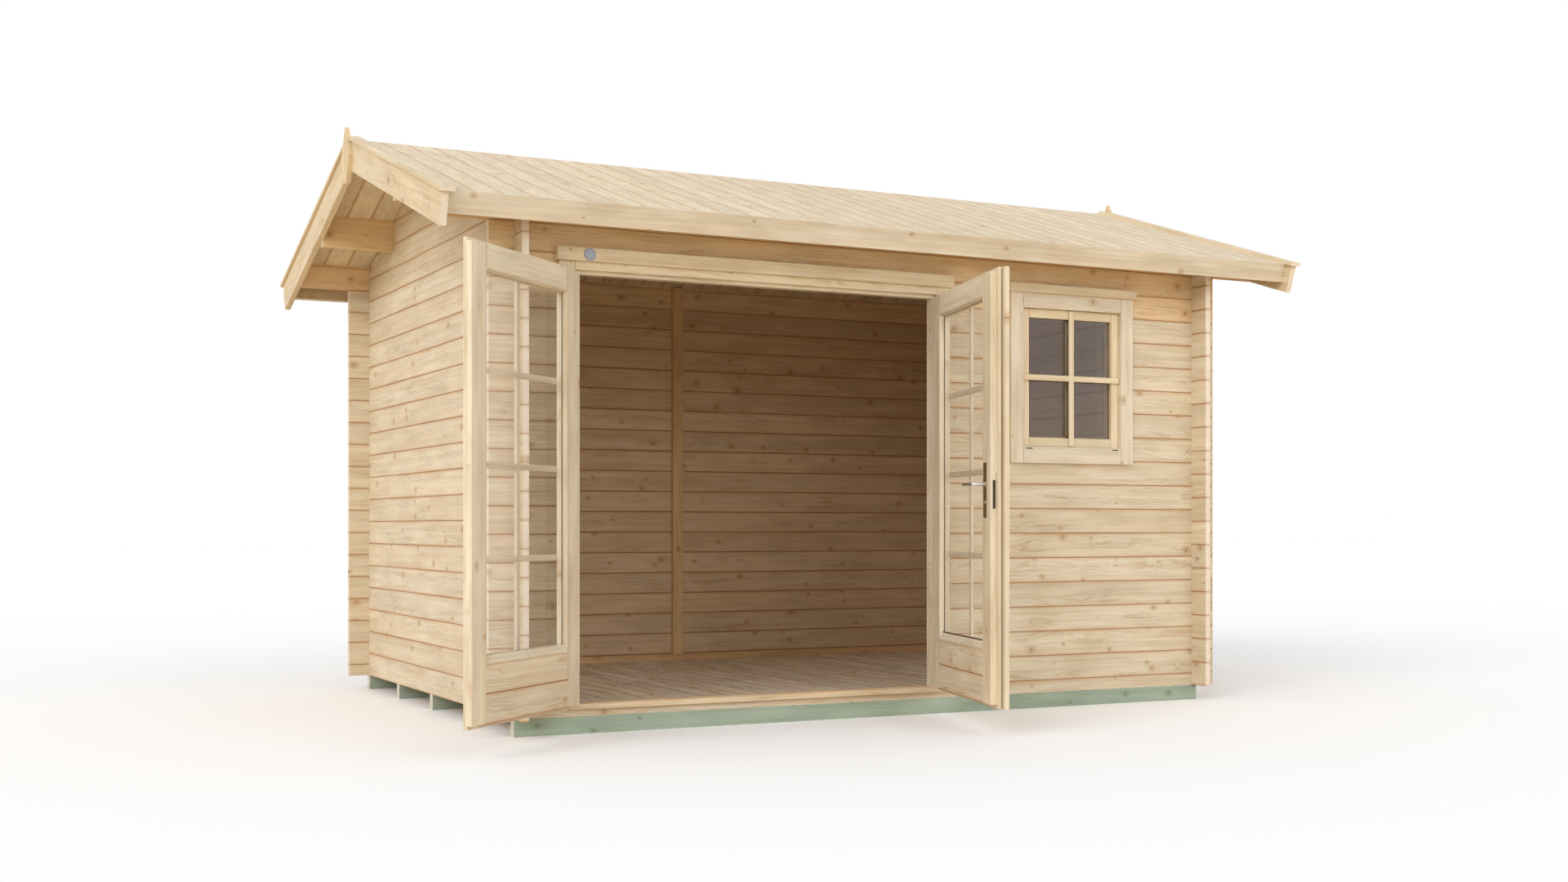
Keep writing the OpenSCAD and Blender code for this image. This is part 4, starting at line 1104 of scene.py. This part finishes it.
class GARDENHOUSE_OT_lock(bpy.types.Operator):
    """Makes the levers, collars and key faces, and the lock's face with its bolts"""
    bl_idname = "garden_house.lock"
    bl_label = "Lock"

    def execute(self, context):
        sizes = context.scene.garden_house_sizes
        leaf = LEAVES["right"]
        dress("brushed_stainless_steel", "lock_plates")
        low, high = leaf.room("lever_handle")
        plate_low, plate_high = leaf.room("lock_plates")
        z = (low[2] + high[2]) / 2
        pin = np.array(JOINTS["handle_turn"]["pos_m"]) - leaf.pin
        neck_u = -(pin[0] * math.cos(leaf.turn) + pin[1] * math.sin(leaf.turn))
        reach = sizes.lever_reach
        parts = []
        for face, out in ((low[1], 1.0), (high[1], -1.0)):
            # neck out of the plate, a tight bend, then the grip towards the hinges
            t = np.linspace(0, math.pi / 2, 7)
            bend = 0.012
            root = face + out * reach
            tip = face + out * 0.0048
            neck = np.stack([np.full(4, neck_u), np.linspace(root, tip + out * bend, 4),
                             np.full(4, z)], axis=1)
            curve = np.stack([neck_u - bend * (1 - np.cos(t)),
                              tip + out * bend * (1 - np.sin(t)), np.full(7, z)], axis=1)
            run = np.linspace(neck_u - bend, low[0] + 0.001, 9)[1:]
            grip = np.stack([run, np.full(8, tip), np.full(8, z)], axis=1)
            path = np.vstack([neck, curve[1:], grip])
            radii = np.concatenate([np.full(4, 0.0072), np.linspace(0.0068, 0.0047, 6),
                                    np.full(8, 0.0045)])
            flat = np.concatenate([np.full(4, 1.0), np.linspace(1.0, 1.3, 6),
                                   np.linspace(1.3, 1.15, 8)])
            parts.append(tube(path, radii, flat, (0, 0, 1)))
        span = high[1] - low[1] - 2 * reach
        shaft = [(0, 0), (0.0075, 0), (0.0075, span), (0, span)]
        parts.append(revolve(shaft, (neck_u, low[1] + reach, z), (0, 1, 0), 24))
        piece("levers", on_leaf(leaf, parts), "door_handle",
              finish("satin_nickel"), smooth=True, replaces=("lever_handle",))
        # raised collars round the necks, key faces below them, and the plates' screws;
        # the cylinder stands 3 mm proud of the plates
        collar = np.array([(0.0085, 0.0), (0.0128, 0.0), (0.0128, 0.003),
                           (0.0112, 0.0045), (0.0085, 0.0045)])
        cylinder = [(0, 0), (0.0062, 0), (0.0062, 0.0006), (0.0055, 0.0012), (0, 0.0012)]
        screw = [(0, 0), (0.0042, 0), (0.0042, 0.0009), (0.003, 0.0016), (0, 0.0017)]
        key_z = z - 0.072
        c, s = circle(24)
        around = np.stack([c, np.zeros(24), s], axis=1)
        made = []
        for face, out in ((plate_low[1] + 0.003, -1.0), (plate_high[1] - 0.003, 1.0)):
            points = (np.array([neck_u, face, z]) + around[None] * collar[:, None, :1]
                      + np.array([0, out, 0]) * collar[:, None, 1:2])
            made.append((points, grid_faces(len(collar), 24, wrap=True, row_wrap=True)))
            made.append(revolve(cylinder, (neck_u, face + out * 0.003, key_z),
                                (0, out, 0)))
            made.append(board((neck_u - 0.0006, face + out * 0.0035, key_z - 0.004),
                              (neck_u + 0.0006, face + out * 0.0047, key_z + 0.004),
                              0.0003))
            made += [revolve(screw, (neck_u, face, z + rise), (0, out, 0), 16)
                     for rise in (0.028, -0.112)]
        piece("lock_collars", on_leaf(leaf, made), leaf.body,
              finish("brushed_stainless_steel"), smooth=True)
        # the lock's dark face in the free edge, with the latch and the bolt in it
        edge = plate_high[0]
        case = board((edge - 0.001, 0.0315, z - 0.098),
                     (edge + 0.0008, 0.0430, z + 0.015), 0.0004)
        latch = board((edge - 0.002, 0.0325, z - 0.009),
                      (edge + 0.004, 0.0420, z + 0.009), 0.0015)
        bolt = board((edge - 0.002, 0.0330, z - 0.088),
                     (edge + 0.0014, 0.0415, z - 0.060), 0.0006)
        for name, parts in (("lock_face", [case]), ("latch_bolt", [latch, bolt])):
            piece(name, on_leaf(leaf, parts), leaf.body,
                  finish("blackened_steel"))
        return {"FINISHED"}


class GARDENHOUSE_OT_round_plate(bpy.types.Operator):
    """Finishes the bare round plate on the drip board and gives it a rim"""
    bl_idname = "garden_house.round_plate"
    bl_label = "Round plate"

    def execute(self, context):
        low, high = box("round_plate")
        radius, depth = (high[0] - low[0]) / 2, high[1] - low[1]
        centre = (low + high) / 2 * [1, 0, 1] + [0, high[1], 0]
        profile = [(0, depth - 0.0009), (radius * 0.84, depth - 0.0009),
                   (radius * 0.88, depth - 0.0001), (radius * 0.96, depth - 0.0001),
                   (radius, depth - 0.0011), (radius, 0.0), (0, 0.0)]
        plate = revolve(profile, centre, (0, -1, 0), 64)
        piece("bare_plate", [plate], "house", finish("satin_aluminium"),
              smooth=True, replaces=("round_plate",))
        return {"FINISHED"}


def watched(tree):
    """One for rays that come from the camera, from a glossy face or through glass."""
    path = tree.nodes.new("ShaderNodeLightPath")
    seen = path.outputs["Is Camera Ray"]
    for kind in ("Is Glossy Ray", "Is Transmission Ray"):
        seen = add(tree, "Math", {0: seen, 1: path.outputs[kind]}, operation="MAXIMUM")
    return seen


class GARDENHOUSE_OT_stage(bpy.types.Operator):
    """Sets the pale floor, the soft light and the camera"""
    bl_idname = "garden_house.stage"
    bl_label = "Stage"

    def execute(self, context):
        scene = context.scene
        colours = scene.garden_house_colours
        scene.view_settings.view_transform = "Standard"
        reach = 60.0
        mesh = bpy.data.meshes.new("ground")
        mesh.from_pydata([(-reach, -reach, 0), (reach, -reach, 0), (reach, reach, 0),
                          (-reach, reach, 0)], [], [(0, 1, 2, 3)])
        ground = put("ground", mesh)
        material, tree = blank("pale_ground")
        # the eye sees a white floor with the house's shadow; the house gets the light
        # of a sand coloured one
        seen = watched(tree)
        tint = add(tree, "Mix", {0: seen},
                   {6: tuple(colours.ground), 7: linear("#ffffff")}, **RGBA)
        shade = add(tree, "BsdfDiffuse", {0: tint})
        close(tree, shade)
        mesh.materials.append(material)
        world = bpy.data.worlds.new("soft_sky")
        world.use_nodes = True
        scene.world = world
        tree = world.node_tree
        tree.nodes.clear()
        seen = watched(tree)
        level = add(tree, "MapRange", {0: seen}, {3: 0.74, 4: 1.0})
        light = add(tree, "Background", {1: level}, {0: tuple(colours.sky)})
        add(tree, "OutputWorld", {"Surface": light})
        for name, turn, energy, spread in (
                ("key_sun", (math.radians(65), 0, math.radians(-60)), 1.40, 40.0),
                ("fill_sun", (math.radians(74), 0, math.radians(10)), 0.80, 60.0)):
            lamp = bpy.data.lights.new(name, "SUN")
            lamp.energy = energy
            lamp.angle = math.radians(spread)
            put(name, lamp).rotation_euler = turn
        # faint light from the middle of the room, so that it isn't lost in the dark
        glow = bpy.data.lights.new("room_light", "AREA")
        glow.shape = "RECTANGLE"
        (x0, x1), (y0, y1) = room_box()[:2]
        glow.size, glow.size_y = (x1 - x0) * 0.8, (y1 - y0) * 0.5
        glow.energy = 2.3
        glow.color = (1.0, 0.95, 0.88)
        made = put("room_light", glow)
        made.location = ((x0 + x1) / 2, (y0 + y1) / 2, 1.70)
        made.visible_camera = made.visible_glossy = made.visible_transmission = False
        eye = bpy.data.cameras.new("camera")
        eye.lens = 40.361
        eye.sensor_width = 36.0
        eye.shift_y = 0.05443
        eye.clip_end = 200.0
        camera = put("camera", eye)
        camera.location = (-3.8989, -7.8119, 0.8296)
        camera.rotation_euler = (math.pi / 2, 0, math.radians(-27.013))
        scene.camera = camera
        return {"FINISHED"}


class GARDENHOUSE_PT_panel(bpy.types.Panel):
    """Lists the pieces of the garden house"""
    bl_idname = "GARDENHOUSE_PT_panel"
    bl_label = "Garden House"
    bl_space_type = "VIEW_3D"
    bl_region_type = "UI"
    bl_category = "Garden House"

    def draw(self, context):
        column = self.layout.column(align=True)
        for operator in OPERATORS:
            column.operator(operator.bl_idname)
        for group in ("garden_house_sizes", "garden_house_colours"):
            values = getattr(context.scene, group)
            for key in values.__annotations__:
                self.layout.prop(values, key)


OPERATORS = (GARDENHOUSE_OT_base, GARDENHOUSE_OT_walls, GARDENHOUSE_OT_roof,
             GARDENHOUSE_OT_floor, GARDENHOUSE_OT_doorway, GARDENHOUSE_OT_window,
             GARDENHOUSE_OT_leaves, GARDENHOUSE_OT_hinges, GARDENHOUSE_OT_lock,
             GARDENHOUSE_OT_round_plate, GARDENHOUSE_OT_stage)
CLASSES = (GardenHouseSizes, GardenHouseColours) + OPERATORS + (GARDENHOUSE_PT_panel,)


def register():
    """Registers the classes and their settings."""
    for item in CLASSES:
        bpy.utils.register_class(item)
    bpy.types.Scene.garden_house_sizes = PointerProperty(type=GardenHouseSizes)
    bpy.types.Scene.garden_house_colours = PointerProperty(type=GardenHouseColours)


def unregister():
    """Removes the settings and the classes."""
    del bpy.types.Scene.garden_house_colours
    del bpy.types.Scene.garden_house_sizes
    for item in reversed(CLASSES):
        bpy.utils.unregister_class(item)


def main():
    """Makes every piece in order."""
    register()
    for operator in OPERATORS:
        group, name = operator.bl_idname.split(".")
        getattr(getattr(bpy.ops, group), name)()


if __name__ == "__main__":
    main()
